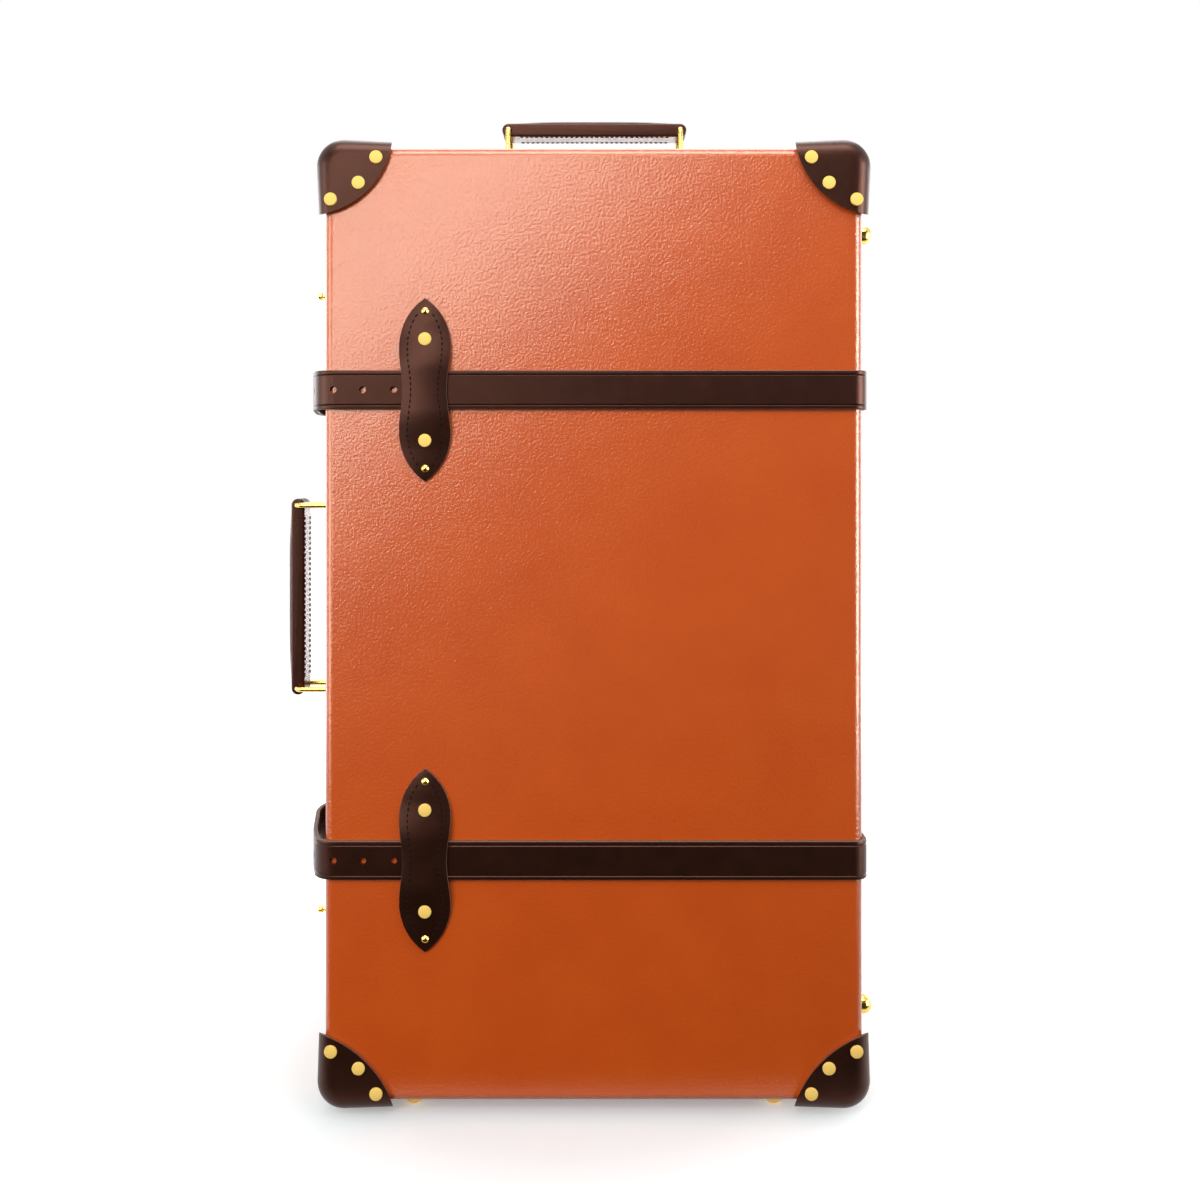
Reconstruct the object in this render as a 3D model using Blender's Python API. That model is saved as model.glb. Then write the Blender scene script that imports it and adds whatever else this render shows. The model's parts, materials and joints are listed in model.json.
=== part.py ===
"""An upright fibreboard suitcase with leather straps, corners and handles, and brass fittings.

Lengths are in metres and angles in degrees. The case stands on its short end, with its lid
towards -Y and its opening side towards -X. Pieces are drawn in the case's own frame: x = 0 halfway
across, y = 0 where the lid meets the base, z = 0 on the floor. The last step moves that frame so
that the world's origin lies under the middle of the whole part.
"""

import math

import bmesh
import bpy
from mathutils import Matrix, Vector

# Case
CASE_WIDTH = 0.430
CASE_HEIGHT = 0.762
LID_DEPTH = 0.080
BASE_DEPTH = 0.175
SHELL_WALL = 0.0035
CORNER_RADIUS = 0.016
EDGE_RADIUS = 0.008
PARTING_GAP = 0.0004

# Clearances: still pieces that touch, and pieces that turn or slide on each other
FIT_GAP = 0.0003
RUN_GAP = 0.0005

# Wooden frames and cloth linings
FRAME_THICKNESS = 0.010
FRAME_DEPTH = 0.022
FRAME_TONGUE = 0.008
LINING_THICKNESS = 0.0012

# Leather corner caps, each trimmed by a ball whose centre lies outside the corner. The balls
# of the top caps are smaller, which gives them a rounder edge
CAP_LEATHER = 0.005
TOP_CAP_BALL_RADIUS = 0.0684
TOP_CAP_BALL_OUT = 0.0124
BOTTOM_CAP_BALL_RADIUS = 0.0939
BOTTOM_CAP_BALL_OUT = 0.0297

# Brass feet
FOOT_HEIGHT = 0.013
FOOT_DOME_RADIUS = 0.0075
FOOT_FLANGE_RADIUS = 0.0095
FOOT_FLANGE_HEIGHT = 0.0018
FOOT_FLAT_RADIUS = 0.0035
BOTTOM_FOOT_FROM_SIDE = 0.068
BOTTOM_FOOT_FROM_FACE = 0.029
SIDE_FOOT_FROM_END = 0.0645
SIDE_FOOT_FROM_FACE = 0.035

# Brass hinges on the right side
HINGE_LENGTH = 0.060
HINGE_LEAF_WIDTH = 0.020
HINGE_LEAF_THICKNESS = 0.0015
HINGE_KNUCKLE_WALL = 0.0014
HINGE_PIN_RADIUS = 0.0017
HINGE_FROM_END = 0.131

# Leather straps
STRAP_WIDTH = 0.031
STRAP_THICKNESS = 0.0036
STRAP_FROM_END = 0.194
STRAP_BEND_RADIUS = 0.0182
STRAP_BEND_OUT = 0.0045
STRAP_SWELL_OUT = 0.0145
STRAP_SWELL_FROM_PARTING = -0.045
STRAP_BOW_RADIUS = 0.060
STRAP_WAVE_RADIUS = 0.012
STRAP_SLACK = 0.0015
STRAP_LOOSE_HEIGHT = 0.0275
STRAP_CREST_FROM_PARTING = 0.028
STRAP_TIP_FROM_BACK = 0.017
STRAP_FOLD_ANGLE = 220

# Brass buckles on the left side of the base
BUCKLE_ROD_RADIUS = 0.0023
BUCKLE_LENGTH = 0.036
BUCKLE_FROM_BACK = 0.069
BUCKLE_RISE = 0.0035
BUCKLE_CORNER_RADIUS = 0.004
PRONG_RADIUS = 0.0015
PRONG_OVERHANG = 0.004
PRONG_HOOK_ANGLE = 250
LOOP_WIDTH = 0.010
LOOP_THICKNESS = 0.0025
LOOP_FROM_BACK = 0.034
LOOP_BEVEL = 0.0005

# Stitched keeper tabs on the lid
KEEPER_LEATHER = 0.003
KEEPER_HALF_HEIGHT = 0.073
KEEPER_LOBE_HEIGHT = 0.0345
KEEPER_LOBE_HALF_WIDTH = 0.0205
KEEPER_WAIST_HALF_WIDTH = 0.0175
KEEPER_FROM_SIDE = 0.081
KEEPER_RAMP = 0.006

# Handles
RING_ROD_RADIUS = 0.0023
RING_WIDTH = 0.037
RING_HEIGHT = 0.039
SIDE_RING_SPACING = 0.160
TOP_RING_SPACING = 0.152
RING_CORNER_RADIUS = 0.005
GRIP_THICKNESS = 0.0115
GRIP_CROWN = 0.004
GRIP_WIDTH = 0.026
HANDLE_PLATE_LENGTH = 0.028
HANDLE_PLATE_THICKNESS = 0.0015
HANDLE_TUBE_WALL = 0.0016
HANDLE_TUBE_SINK = 0.001
HANDLE_PLATE_WIDTH = 0.028
SIDE_HANDLE_FROM_PARTING = 0.032
SIDE_HANDLE_RISE = 0.0127
TOP_HANDLE_FROM_PARTING = 0.048

# Locks
UPPER_LOCK_FROM_END = 0.100
LOWER_LOCK_FROM_END = 0.128
LOCK_LENGTH = 0.046
LOCK_DEPTH = 0.030
LOCK_THICKNESS = 0.012
LOCK_FROM_PARTING = 0.003
LOCK_BEVEL = 0.0015
SLOT_WIDTH = 0.008
SLOT_LENGTH = 0.026
SLOT_DEPTH = 0.0036
SLOT_FROM_EDGE = 0.0165
KNOB_RADIUS = 0.004
KNOB_RIM = 0.001
KNOB_HEIGHT = 0.013
KNOB_FOOT_LENGTH = 0.013
HASP_WIDTH = 0.016
HASP_REACH = 0.008
HASP_THICKNESS = 0.0022
HASP_TIP_RADIUS = 0.0027
HASP_PLATE_THICKNESS = 0.002
HASP_PLATE_DEPTH = 0.026
HASP_PIN_RADIUS = 0.0015
HASP_BARREL_WALL = 0.0015
HASP_LUG_LENGTH = 0.007

# How finely round shapes are cut
CORNER_SEGMENTS = 4
EDGE_SEGMENTS = 3
BALL_SEGMENTS = 48
ROUND_SIDES = 16
ROD_RESOLUTION = 2
ARC_STEP = 15
LEAF_STEPS = 12
GRIP_CROWN_STEPS = 6
GRIP_LENGTH_STEPS = 6
SHARP_ANGLE = 35
OVERCUT = 0.01
SAME_POINT = 1e-6

CASE_BOTTOM = FOOT_HEIGHT
CASE_MIDDLE = CASE_BOTTOM + CASE_HEIGHT / 2
LEFT_WALL = -CASE_WIDTH / 2
RIGHT_WALL = CASE_WIDTH / 2
HINGE_OUT = FIT_GAP + STRAP_THICKNESS + RUN_GAP
HINGE_AXIS = Vector((RIGHT_WALL + HINGE_OUT, 0, CASE_MIDDLE))
STRAP_OUT = FIT_GAP + STRAP_THICKNESS / 2
STRAP_HEIGHTS = {
    "upper": CASE_BOTTOM + CASE_HEIGHT - STRAP_FROM_END,
    "lower": CASE_BOTTOM + STRAP_FROM_END,
}
LOCK_HEIGHTS = {
    "upper": CASE_BOTTOM + CASE_HEIGHT - UPPER_LOCK_FROM_END,
    "lower": CASE_BOTTOM + LOWER_LOCK_FROM_END,
}
HINGE_HEIGHTS = {
    "upper": CASE_BOTTOM + CASE_HEIGHT - HINGE_FROM_END,
    "lower": CASE_BOTTOM + HINGE_FROM_END,
}


def finish(name, color, roughness, metallic):
    """One plain material."""
    material = bpy.data.materials.new(name)
    material.use_nodes = True
    shader = material.node_tree.nodes["Principled BSDF"]
    shader.inputs["Base Color"].default_value = (*color, 1)
    shader.inputs["Roughness"].default_value = roughness
    shader.inputs["Metallic"].default_value = metallic
    return material


def axis_empty(name, place, parent=None):
    """An empty on a joint's axis, placed in the case's own frame."""
    empty = bpy.data.objects.new(name, None)
    empty.parent = parent
    empty.location = Vector(place) - (home(parent) if parent else Vector())
    empty.empty_display_size = CASE_WIDTH / 10
    bpy.context.collection.objects.link(empty)
    return empty


def home(empty):
    """Where an empty lies in the case's own frame."""
    return empty.location + (home(empty.parent) if empty.parent else Vector())


def add_piece(name, shape, material, carrier):
    """Makes a named object of a shape drawn in the case's frame, carried by an empty."""
    bmesh.ops.translate(shape, vec=-home(carrier), verts=shape.verts)
    mesh = bpy.data.meshes.new(name)
    shape.to_mesh(mesh)
    shape.free()
    mesh.materials.append(material)
    mesh.shade_smooth()
    mesh.set_sharp_from_angle(angle=math.radians(SHARP_ANGLE))
    piece = bpy.data.objects.new(name, mesh)
    piece.parent = carrier
    bpy.context.collection.objects.link(piece)
    return piece


def scratch_object(shape):
    mesh = bpy.data.meshes.new("scratch")
    shape.to_mesh(mesh)
    shape.free()
    scratch = bpy.data.objects.new("scratch", mesh)
    bpy.context.collection.objects.link(scratch)
    return scratch


def evaluated(scratch):
    """The shape of an object with its modifiers or bevel, as a new bmesh."""
    graph = bpy.context.evaluated_depsgraph_get()
    mesh = bpy.data.meshes.new_from_object(scratch.evaluated_get(graph))
    shape = bmesh.new()
    shape.from_mesh(mesh)
    bmesh.ops.remove_doubles(shape, verts=shape.verts, dist=SAME_POINT)
    return shape


def combine(shape, tool, operation):
    """One closed shape joined to, cut by or crossed with another."""
    body, cutter = scratch_object(shape), scratch_object(tool)
    boolean = body.modifiers.new("combine", "BOOLEAN")
    boolean.operation = operation
    boolean.solver = "EXACT"
    boolean.object = cutter
    result = evaluated(body)
    for scratch in (body, cutter):
        bpy.data.objects.remove(scratch)
    return result


def cut(shape, tool):
    return combine(shape, tool, "DIFFERENCE")


def join(shape, *others):
    for other in others:
        shape = combine(shape, other, "UNION")
    return shape


def moved(shape, matrix):
    """The shape turned, mirrored or moved by a matrix, with its faces pointing out again."""
    bmesh.ops.transform(shape, matrix=matrix, verts=shape.verts)
    if matrix.determinant() < 0:
        bmesh.ops.reverse_faces(shape, faces=shape.faces)
    return shape


def mirrored(shape, sign_x, sign_z, sign_y=1):
    """The shape mirrored across the case's middle planes and, in y, across its parting plane."""
    middle = Matrix.Translation((0, 0, CASE_MIDDLE))
    signs = Matrix.Diagonal((sign_x, sign_y, sign_z, 1))
    return moved(shape, middle @ signs @ middle.inverted())


def block(low, high):
    """A box between two corners."""
    shape = bmesh.new()
    bmesh.ops.create_cube(shape, size=1)
    low, high = Vector(low), Vector(high)
    bmesh.ops.scale(shape, vec=high - low, verts=shape.verts)
    bmesh.ops.translate(shape, vec=(low + high) / 2, verts=shape.verts)
    return shape


def round_edges(shape, edges, radius, segments):
    bmesh.ops.bevel(shape, geom=edges, offset=radius, segments=segments, profile=0.5, affect="EDGES")


def case_block(start, end, grow, rounded_end=True):
    """A block of the case's outline between two depths, grown on its sides and its end."""
    half = Vector((CASE_WIDTH / 2 + grow, 0, CASE_HEIGHT / 2 + grow))
    middle = Vector((0, 0, CASE_MIDDLE))
    shape = block(middle - half + Vector((0, start, 0)), middle + half + Vector((0, end, 0)))
    lengthwise = [e for e in shape.edges if abs(e.verts[0].co.y - e.verts[1].co.y) > SAME_POINT]
    round_edges(shape, lengthwise, CORNER_RADIUS + grow, CORNER_SEGMENTS)
    if rounded_end:
        rim = [e for e in shape.edges if all(abs(v.co.y - end) < SAME_POINT for v in e.verts)]
        round_edges(shape, rim, EDGE_RADIUS + grow, EDGE_SEGMENTS)
    return shape


def tray(start, depth, outset, wall):
    """A tray that is open towards y = 0, with its outside that far out of the case's outline."""
    outside = case_block(start, depth + outset, outset)
    inside = case_block(start - OVERCUT, depth + outset - wall, outset - wall)
    return cut(outside, inside)


def ring_frame(start, end):
    """A wooden frame that fits inside a shell."""
    outset = -SHELL_WALL - FIT_GAP
    outside = case_block(start, end, outset, rounded_end=False)
    inside = case_block(start - OVERCUT, end + OVERCUT, outset - FRAME_THICKNESS, rounded_end=False)
    return cut(outside, inside)


def prism(outline, low, high):
    """A flat outline in X and Y, drawn out along Z."""
    shape = bmesh.new()
    face = shape.faces.new([shape.verts.new((x, y, low)) for x, y in outline])
    drawn = bmesh.ops.extrude_face_region(shape, geom=[face])
    top = [item for item in drawn["geom"] if isinstance(item, bmesh.types.BMVert)]
    bmesh.ops.translate(shape, vec=(0, 0, high - low), verts=top)
    bmesh.ops.recalc_face_normals(shape, faces=shape.faces)
    return shape


def cylinder(radius, low, high):
    """A round bar along Z between two heights."""
    shape = bmesh.new()
    bmesh.ops.create_cone(
        shape, cap_ends=True, segments=ROUND_SIDES, radius1=radius, radius2=radius, depth=high - low
    )
    bmesh.ops.translate(shape, vec=(0, 0, (low + high) / 2), verts=shape.verts)
    return shape


def turned(profile):
    """A profile of radius and height, turned about Z."""
    shape = bmesh.new()
    points = [shape.verts.new((radius, 0, height)) for radius, height in profile]
    lines = [shape.edges.new(pair) for pair in zip(points, points[1:])]
    bmesh.ops.spin(
        shape, geom=points + lines, axis=(0, 0, 1), angle=math.tau, steps=ROUND_SIDES, use_merge=True
    )
    bmesh.ops.remove_doubles(shape, verts=shape.verts, dist=SAME_POINT)
    bmesh.ops.recalc_face_normals(shape, faces=shape.faces)
    return shape


def arc(center, radius, start, end):
    """Points on a circle between two angles in degrees."""
    steps = max(2, math.ceil(abs(end - start) / ARC_STEP))
    angles = [math.radians(start + (end - start) * i / steps) for i in range(steps + 1)]
    return [center + radius * Vector((math.cos(a), math.sin(a))) for a in angles]


def rounded_corner(before, corner, after, radius):
    """The arc that rounds one corner of a path, no larger than its shorter side allows."""
    to_before, to_after = (before - corner).normalized(), (after - corner).normalized()
    half = to_before.angle(to_after) / 2
    room = 0.49 * min((before - corner).length, (after - corner).length)
    radius = min(radius, room * math.tan(half))
    center = corner + (to_before + to_after).normalized() * radius / math.sin(half)
    first = (corner + to_before * radius / math.tan(half)) - center
    last = (corner + to_after * radius / math.tan(half)) - center
    start = math.degrees(math.atan2(first.y, first.x))
    turn = math.degrees(math.atan2(first.x * last.y - first.y * last.x, first.dot(last)))
    return arc(center, radius, start, start + turn)


def rounded_path(corners, radii):
    """An open path in a plane, with each inner corner rounded to its radius."""
    corners = [Vector(corner) for corner in corners]
    path = [corners[0]]
    for index, radius in enumerate(radii):
        path += rounded_corner(*corners[index : index + 3], radius)
    return path + [corners[-1]]


def rounded_loop(width, height, radius):
    """A closed rectangle with rounded corners, centred on zero."""
    corners = [Vector((x * width / 2, y * height / 2)) for x, y in ((1, 1), (-1, 1), (-1, -1), (1, -1))]
    loop = []
    for index, corner in enumerate(corners):
        loop += rounded_corner(corners[index - 1], corner, corners[(index + 1) % 4], radius)
    return loop


def band_outline(path, thickness):
    """The outline of a band that follows a path down its middle."""
    sides = ([], [])
    for index, point in enumerate(path):
        before = (point - path[index - 1]).normalized() if index else None
        after = (path[index + 1] - point).normalized() if index + 1 < len(path) else None
        along = ((before or after) + (after or before)).normalized()
        lean = along.dot(after or before)
        across = Vector((-along.y, along.x)) * thickness / 2 / lean
        sides[0].append(point + across)
        sides[1].append(point - across)
    return sides[0] + sides[1][::-1]


def rod(points, radius, closed):
    """A round wire along points in space."""
    curve = bpy.data.curves.new("scratch", "CURVE")
    curve.dimensions = "3D"
    curve.bevel_depth = radius
    curve.bevel_resolution = ROD_RESOLUTION
    curve.use_fill_caps = True
    spline = curve.splines.new("POLY")
    spline.points.add(len(points) - 1)
    for target, point in zip(spline.points, points):
        target.co = (*point, 1)
    spline.use_cyclic_u = closed
    scratch = bpy.data.objects.new("scratch", curve)
    bpy.context.collection.objects.link(scratch)
    shape = evaluated(scratch)
    bpy.data.objects.remove(scratch)
    bmesh.ops.recalc_face_normals(shape, faces=shape.faces)
    return shape


def add_shells():
    """Trays, wooden frames and linings of both halves. The base frame's tongue enters the lid."""
    lining_outset = -SHELL_WALL - FIT_GAP
    lid_frame_start = FRAME_TONGUE + RUN_GAP
    add_piece("base_shell", tray(PARTING_GAP / 2, BASE_DEPTH, 0, SHELL_WALL), FIBREBOARD, case)
    add_piece("base_frame", ring_frame(-FRAME_TONGUE, FRAME_DEPTH), WOOD, case)
    base_lining = tray(FRAME_DEPTH + FIT_GAP, BASE_DEPTH, lining_outset, LINING_THICKNESS)
    add_piece("base_lining", base_lining, LINING, case)
    lid_shapes = {
        "lid_shell": (tray(PARTING_GAP / 2, LID_DEPTH, 0, SHELL_WALL), FIBREBOARD),
        "lid_frame": (ring_frame(lid_frame_start, lid_frame_start + FRAME_DEPTH), WOOD),
        "lid_lining": (
            tray(lid_frame_start + FRAME_DEPTH + FIT_GAP, LID_DEPTH, lining_outset, LINING_THICKNESS),
            LINING,
        ),
    }
    for name, (shape, material) in lid_shapes.items():
        add_piece(name, mirrored(shape, 1, 1, -1), material, lid)


def corner_cap(depth, ball_radius, ball_out):
    """The cap on a half's right, top, far corner."""
    skin = case_block(0, depth + FIT_GAP + CAP_LEATHER, FIT_GAP + CAP_LEATHER)
    core = case_block(-OVERCUT, depth + FIT_GAP, FIT_GAP)
    ball = bmesh.new()
    bmesh.ops.create_uvsphere(
        ball, u_segments=BALL_SEGMENTS, v_segments=BALL_SEGMENTS // 2, radius=ball_radius
    )
    corner = Vector((CASE_WIDTH / 2, depth, CASE_BOTTOM + CASE_HEIGHT))
    bmesh.ops.translate(ball, vec=corner + Vector((ball_out, ball_out, ball_out)), verts=ball.verts)
    return cut(combine(skin, ball, "INTERSECT"), core)


def add_corner_caps():
    """Eight leather corners, mirrored from the right, top, far one."""
    ends = (
        ("bottom", -1, BOTTOM_CAP_BALL_RADIUS, BOTTOM_CAP_BALL_OUT),
        ("top", 1, TOP_CAP_BALL_RADIUS, TOP_CAP_BALL_OUT),
    )
    for half, depth, sign_y, carrier in (("lid", LID_DEPTH, -1, lid), ("base", BASE_DEPTH, 1, case)):
        for side, sign_x in (("left", -1), ("right", 1)):
            for end, sign_z, ball_radius, ball_out in ends:
                shape = mirrored(corner_cap(depth, ball_radius, ball_out), sign_x, sign_z, sign_y)
                add_piece(f"{half}_corner_{end}_{side}", shape, LEATHER, carrier)


def foot():
    """A domed foot on a thin flange, standing up from z = 0, with a small flat at its tip."""
    dome_base = FOOT_FLANGE_HEIGHT
    tip = FOOT_HEIGHT
    start = Vector((0, tip - FOOT_DOME_RADIUS))
    flat_angle = math.degrees(math.acos(FOOT_FLAT_RADIUS / FOOT_DOME_RADIUS))
    dome = arc(start, FOOT_DOME_RADIUS, 0, flat_angle)
    lift = tip - dome[-1].y
    profile = [(0, FIT_GAP), (FOOT_FLANGE_RADIUS, FIT_GAP), (FOOT_FLANGE_RADIUS, dome_base)]
    profile += [(FOOT_DOME_RADIUS, dome_base)]
    profile += [(point.x, point.y + lift) for point in dome]
    return turned(profile + [(0, tip)])


def add_feet():
    """Feet under the bottom end and on the right side, two of each on either half."""
    down = Matrix.Rotation(math.pi, 4, "X")
    right = Matrix.Rotation(math.pi / 2, 4, "Y")
    for half, sign_y, depth, carrier in (("lid", -1, LID_DEPTH, lid), ("base", 1, BASE_DEPTH, case)):
        for side, sign_x in (("left", -1), ("right", 1)):
            x = sign_x * (CASE_WIDTH / 2 - BOTTOM_FOOT_FROM_SIDE)
            y = sign_y * (depth - BOTTOM_FOOT_FROM_FACE)
            shape = moved(foot(), Matrix.Translation((x, y, CASE_BOTTOM)) @ down)
            add_piece(f"{half}_bottom_foot_{side}", shape, BRASS, carrier)
        for end, sign_z in (("lower", -1), ("upper", 1)):
            y = sign_y * (depth - SIDE_FOOT_FROM_FACE)
            z = CASE_MIDDLE + sign_z * (CASE_HEIGHT / 2 - SIDE_FOOT_FROM_END)
            shape = moved(foot(), Matrix.Translation((RIGHT_WALL, y, z)) @ right)
            add_piece(f"{half}_side_foot_{end}", shape, BRASS, carrier)


def hinge_leaf(sign_y, knuckles):
    """A leaf on the right wall with knuckles at the given heights, drawn about the hinge's middle."""
    bore = HINGE_PIN_RADIUS + FIT_GAP
    knuckle_radius = bore + HINGE_KNUCKLE_WALL
    inner = -HINGE_OUT + FIT_GAP
    outer = inner + HINGE_LEAF_THICKNESS
    edge = knuckle_radius + RUN_GAP
    half = HINGE_LENGTH / 2
    shape = block((inner, edge, -half), (outer, HINGE_LEAF_WIDTH, half))
    for low, high in knuckles:
        shape = join(shape, block((inner, 0, low), (outer, edge + FIT_GAP, high)))
        shape = join(shape, cylinder(knuckle_radius, low, high))
        shape = cut(shape, cylinder(bore, low - OVERCUT, high + OVERCUT))
    return moved(shape, Matrix.Diagonal((1, sign_y, 1, 1)))


def add_hinges():
    """Two butt hinges: the base's leaf has the two outer knuckles and the lid's leaf the middle one."""
    half = HINGE_LENGTH / 2
    third = HINGE_LENGTH / 6
    base_knuckles = [(-half, -third - RUN_GAP / 2), (third + RUN_GAP / 2, half)]
    lid_knuckles = [(-third + RUN_GAP / 2, third - RUN_GAP / 2)]
    for level, height in HINGE_HEIGHTS.items():
        place = Matrix.Translation((HINGE_AXIS.x, 0, height))
        add_piece(f"{level}_hinge_base_leaf", moved(hinge_leaf(1, base_knuckles), place), BRASS, case)
        add_piece(f"{level}_hinge_lid_leaf", moved(hinge_leaf(-1, lid_knuckles), place), BRASS, lid)
        pin = moved(cylinder(HINGE_PIN_RADIUS, -half, half), place)
        add_piece(f"{level}_hinge_pin", pin, BRASS, case)


def strap_plan():
    """Where a strap's bars and turns lie, as x and y seen from above."""
    chape_radius = BUCKLE_ROD_RADIUS + FIT_GAP + STRAP_THICKNESS
    heel = Vector((LEFT_WALL - FIT_GAP - chape_radius, BASE_DEPTH - BUCKLE_FROM_BACK))
    nose = heel + Vector((-BUCKLE_RISE, -BUCKLE_LENGTH))
    return heel, nose, chape_radius


def strap_front():
    """The strap's run from the hinge line round the lid's right edge to its keeper."""
    side = RIGHT_WALL + STRAP_OUT
    face = -LID_DEPTH - STRAP_OUT
    corners = [(side, -PARTING_GAP), (side, face), (LEFT_WALL + KEEPER_FROM_SIDE, face)]
    return rounded_path(corners, [EDGE_RADIUS + STRAP_OUT])


def strap_tongue():
    """The loose end: from the keeper round the left edge, out in a bow and through the buckle."""
    heel, nose, chape_radius = strap_plan()
    face = -LID_DEPTH - STRAP_OUT
    start = Vector((LEFT_WALL + KEEPER_FROM_SIDE - FIT_GAP, face))
    under = nose.x + BUCKLE_ROD_RADIUS + STRAP_SLACK + STRAP_THICKNESS / 2
    over = heel.x - chape_radius - STRAP_SLACK - STRAP_THICKNESS / 2
    flat = LEFT_WALL - 2 * STRAP_OUT - STRAP_THICKNESS / 2
    tip_y = BASE_DEPTH - STRAP_TIP_FROM_BACK
    landing_y = (heel.y + tip_y) / 2
    corners = [
        start,
        (LEFT_WALL - STRAP_BEND_OUT, face),
        (LEFT_WALL - STRAP_SWELL_OUT, STRAP_SWELL_FROM_PARTING),
        (LEFT_WALL - STRAP_LOOSE_HEIGHT, STRAP_CREST_FROM_PARTING),
        (under, nose.y),
        (over, heel.y),
        (flat, landing_y),
        (flat, tip_y),
    ]
    radii = [STRAP_BEND_RADIUS, STRAP_BOW_RADIUS, STRAP_BOW_RADIUS] + [STRAP_WAVE_RADIUS] * 3
    return rounded_path(corners, radii)


def strap_back():
    """The strap's run over the base, ending in a fold round the buckle's heel bar."""
    heel, _, chape_radius = strap_plan()
    side = RIGHT_WALL + STRAP_OUT
    back = BASE_DEPTH + STRAP_OUT
    wall = LEFT_WALL - STRAP_OUT
    fold = chape_radius - STRAP_THICKNESS / 2
    corners = [(side, PARTING_GAP), (side, back), (wall, back), (wall, heel.y)]
    run = rounded_path(corners, [EDGE_RADIUS + STRAP_OUT] * 2)[:-1]
    return run + arc(heel, fold, 0, -STRAP_FOLD_ANGLE)


def strap_piece(path, height):
    outline = band_outline(path, STRAP_THICKNESS)
    return prism(outline, height - STRAP_WIDTH / 2, height + STRAP_WIDTH / 2)


def buckle_frame(heel, nose, height):
    """A wire frame whose heel and nose bars stand upright and are straight across the strap."""
    bar_length = STRAP_WIDTH + 2 * RUN_GAP
    tilt = nose - heel
    loop = rounded_loop(tilt.length, bar_length + 2 * BUCKLE_CORNER_RADIUS, BUCKLE_CORNER_RADIUS)
    middle, along = (heel + nose) / 2, tilt.normalized()
    points = [(*(middle + along * p.x), height + p.y) for p in loop]
    return rod(points, BUCKLE_ROD_RADIUS, closed=True)


def buckle_prong(heel, nose, height):
    """A wire hooked round the heel bar that lies over the nose bar."""
    hook = BUCKLE_ROD_RADIUS + RUN_GAP + PRONG_RADIUS
    along = (nose - heel).normalized()
    outward = Vector((along.y, -along.x))
    leaving = math.degrees(math.atan2(outward.y, outward.x))
    tip = nose + outward * hook + along * PRONG_OVERHANG
    path = arc(heel, hook, leaving - PRONG_HOOK_ANGLE, leaving) + [tip]
    return rod([(*point, height) for point in path], PRONG_RADIUS, closed=False)


def guide_loop(height):
    """A leather loop on the base's wall that the strap's end runs through."""
    inner = STRAP_WIDTH / 2 + RUN_GAP
    outer = inner + LOOP_THICKNESS
    rise = 2 * STRAP_THICKNESS + 2 * FIT_GAP + 2 * RUN_GAP
    roof = rise + LOOP_THICKNESS
    middle = BASE_DEPTH - LOOP_FROM_BACK
    low, high = middle - LOOP_WIDTH / 2, middle + LOOP_WIDTH / 2
    band = block((LEFT_WALL - roof, low, height - outer), (LEFT_WALL - FIT_GAP, high, height + outer))
    crest = [e for e in band.edges if all(v.co.x < LEFT_WALL - rise for v in e.verts)]
    round_edges(band, crest, LOOP_BEVEL, 1)
    passage = block(
        (LEFT_WALL - rise, low - OVERCUT, height - inner), (LEFT_WALL, high + OVERCUT, height + inner)
    )
    return cut(band, passage)


def prong_hole(heel, nose, chape_radius, height):
    """A cutter for the slot where the prong comes through the strap's tongue on its slant."""
    under = BUCKLE_ROD_RADIUS + STRAP_SLACK + STRAP_THICKNESS / 2
    over = chape_radius + STRAP_SLACK + STRAP_THICKNESS / 2
    prong_out = BUCKLE_ROD_RADIUS + RUN_GAP + PRONG_RADIUS
    slope = (under + over) / BUCKLE_LENGTH
    middle = nose.lerp(heel, (under + prong_out) / (under + over))
    half_length = (PRONG_RADIUS + STRAP_THICKNESS / 2) * math.hypot(1, slope) / slope + STRAP_SLACK
    half = Vector((STRAP_LOOSE_HEIGHT, half_length, PRONG_RADIUS + RUN_GAP))
    center = Vector((*middle, height))
    return block(center - half, center + half)


def fold_slot(heel, chape_radius, height):
    """A cutter for the slot where the prong's hook turns inside the strap's fold."""
    reach = chape_radius + RUN_GAP
    half = Vector((reach, reach, PRONG_RADIUS + RUN_GAP))
    center = Vector((*heel, height))
    return block(center - half, center + half - Vector((FIT_GAP, 0, 0)))


def add_straps():
    """Two straps, each in three runs, with its buckle, prong and guide loop."""
    heel, nose, chape_radius = strap_plan()
    for level, height in STRAP_HEIGHTS.items():
        add_piece(f"{level}_strap_front", strap_piece(strap_front(), height), LEATHER, lid)
        hole = prong_hole(heel, nose, chape_radius, height)
        add_piece(f"{level}_strap_tongue", cut(strap_piece(strap_tongue(), height), hole), LEATHER, lid)
        slot = fold_slot(heel, chape_radius, height)
        add_piece(f"{level}_strap_back", cut(strap_piece(strap_back(), height), slot), LEATHER, case)
        add_piece(f"{level}_buckle_frame", buckle_frame(heel, nose, height), BRASS, case)
        add_piece(f"{level}_strap_loop", guide_loop(height), LEATHER, case)
        bar = axis_empty(f"{level}_prong_axis", (*heel, height), case)
        add_piece(f"{level}_buckle_prong", buckle_prong(heel, nose, height), BRASS, bar)


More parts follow.
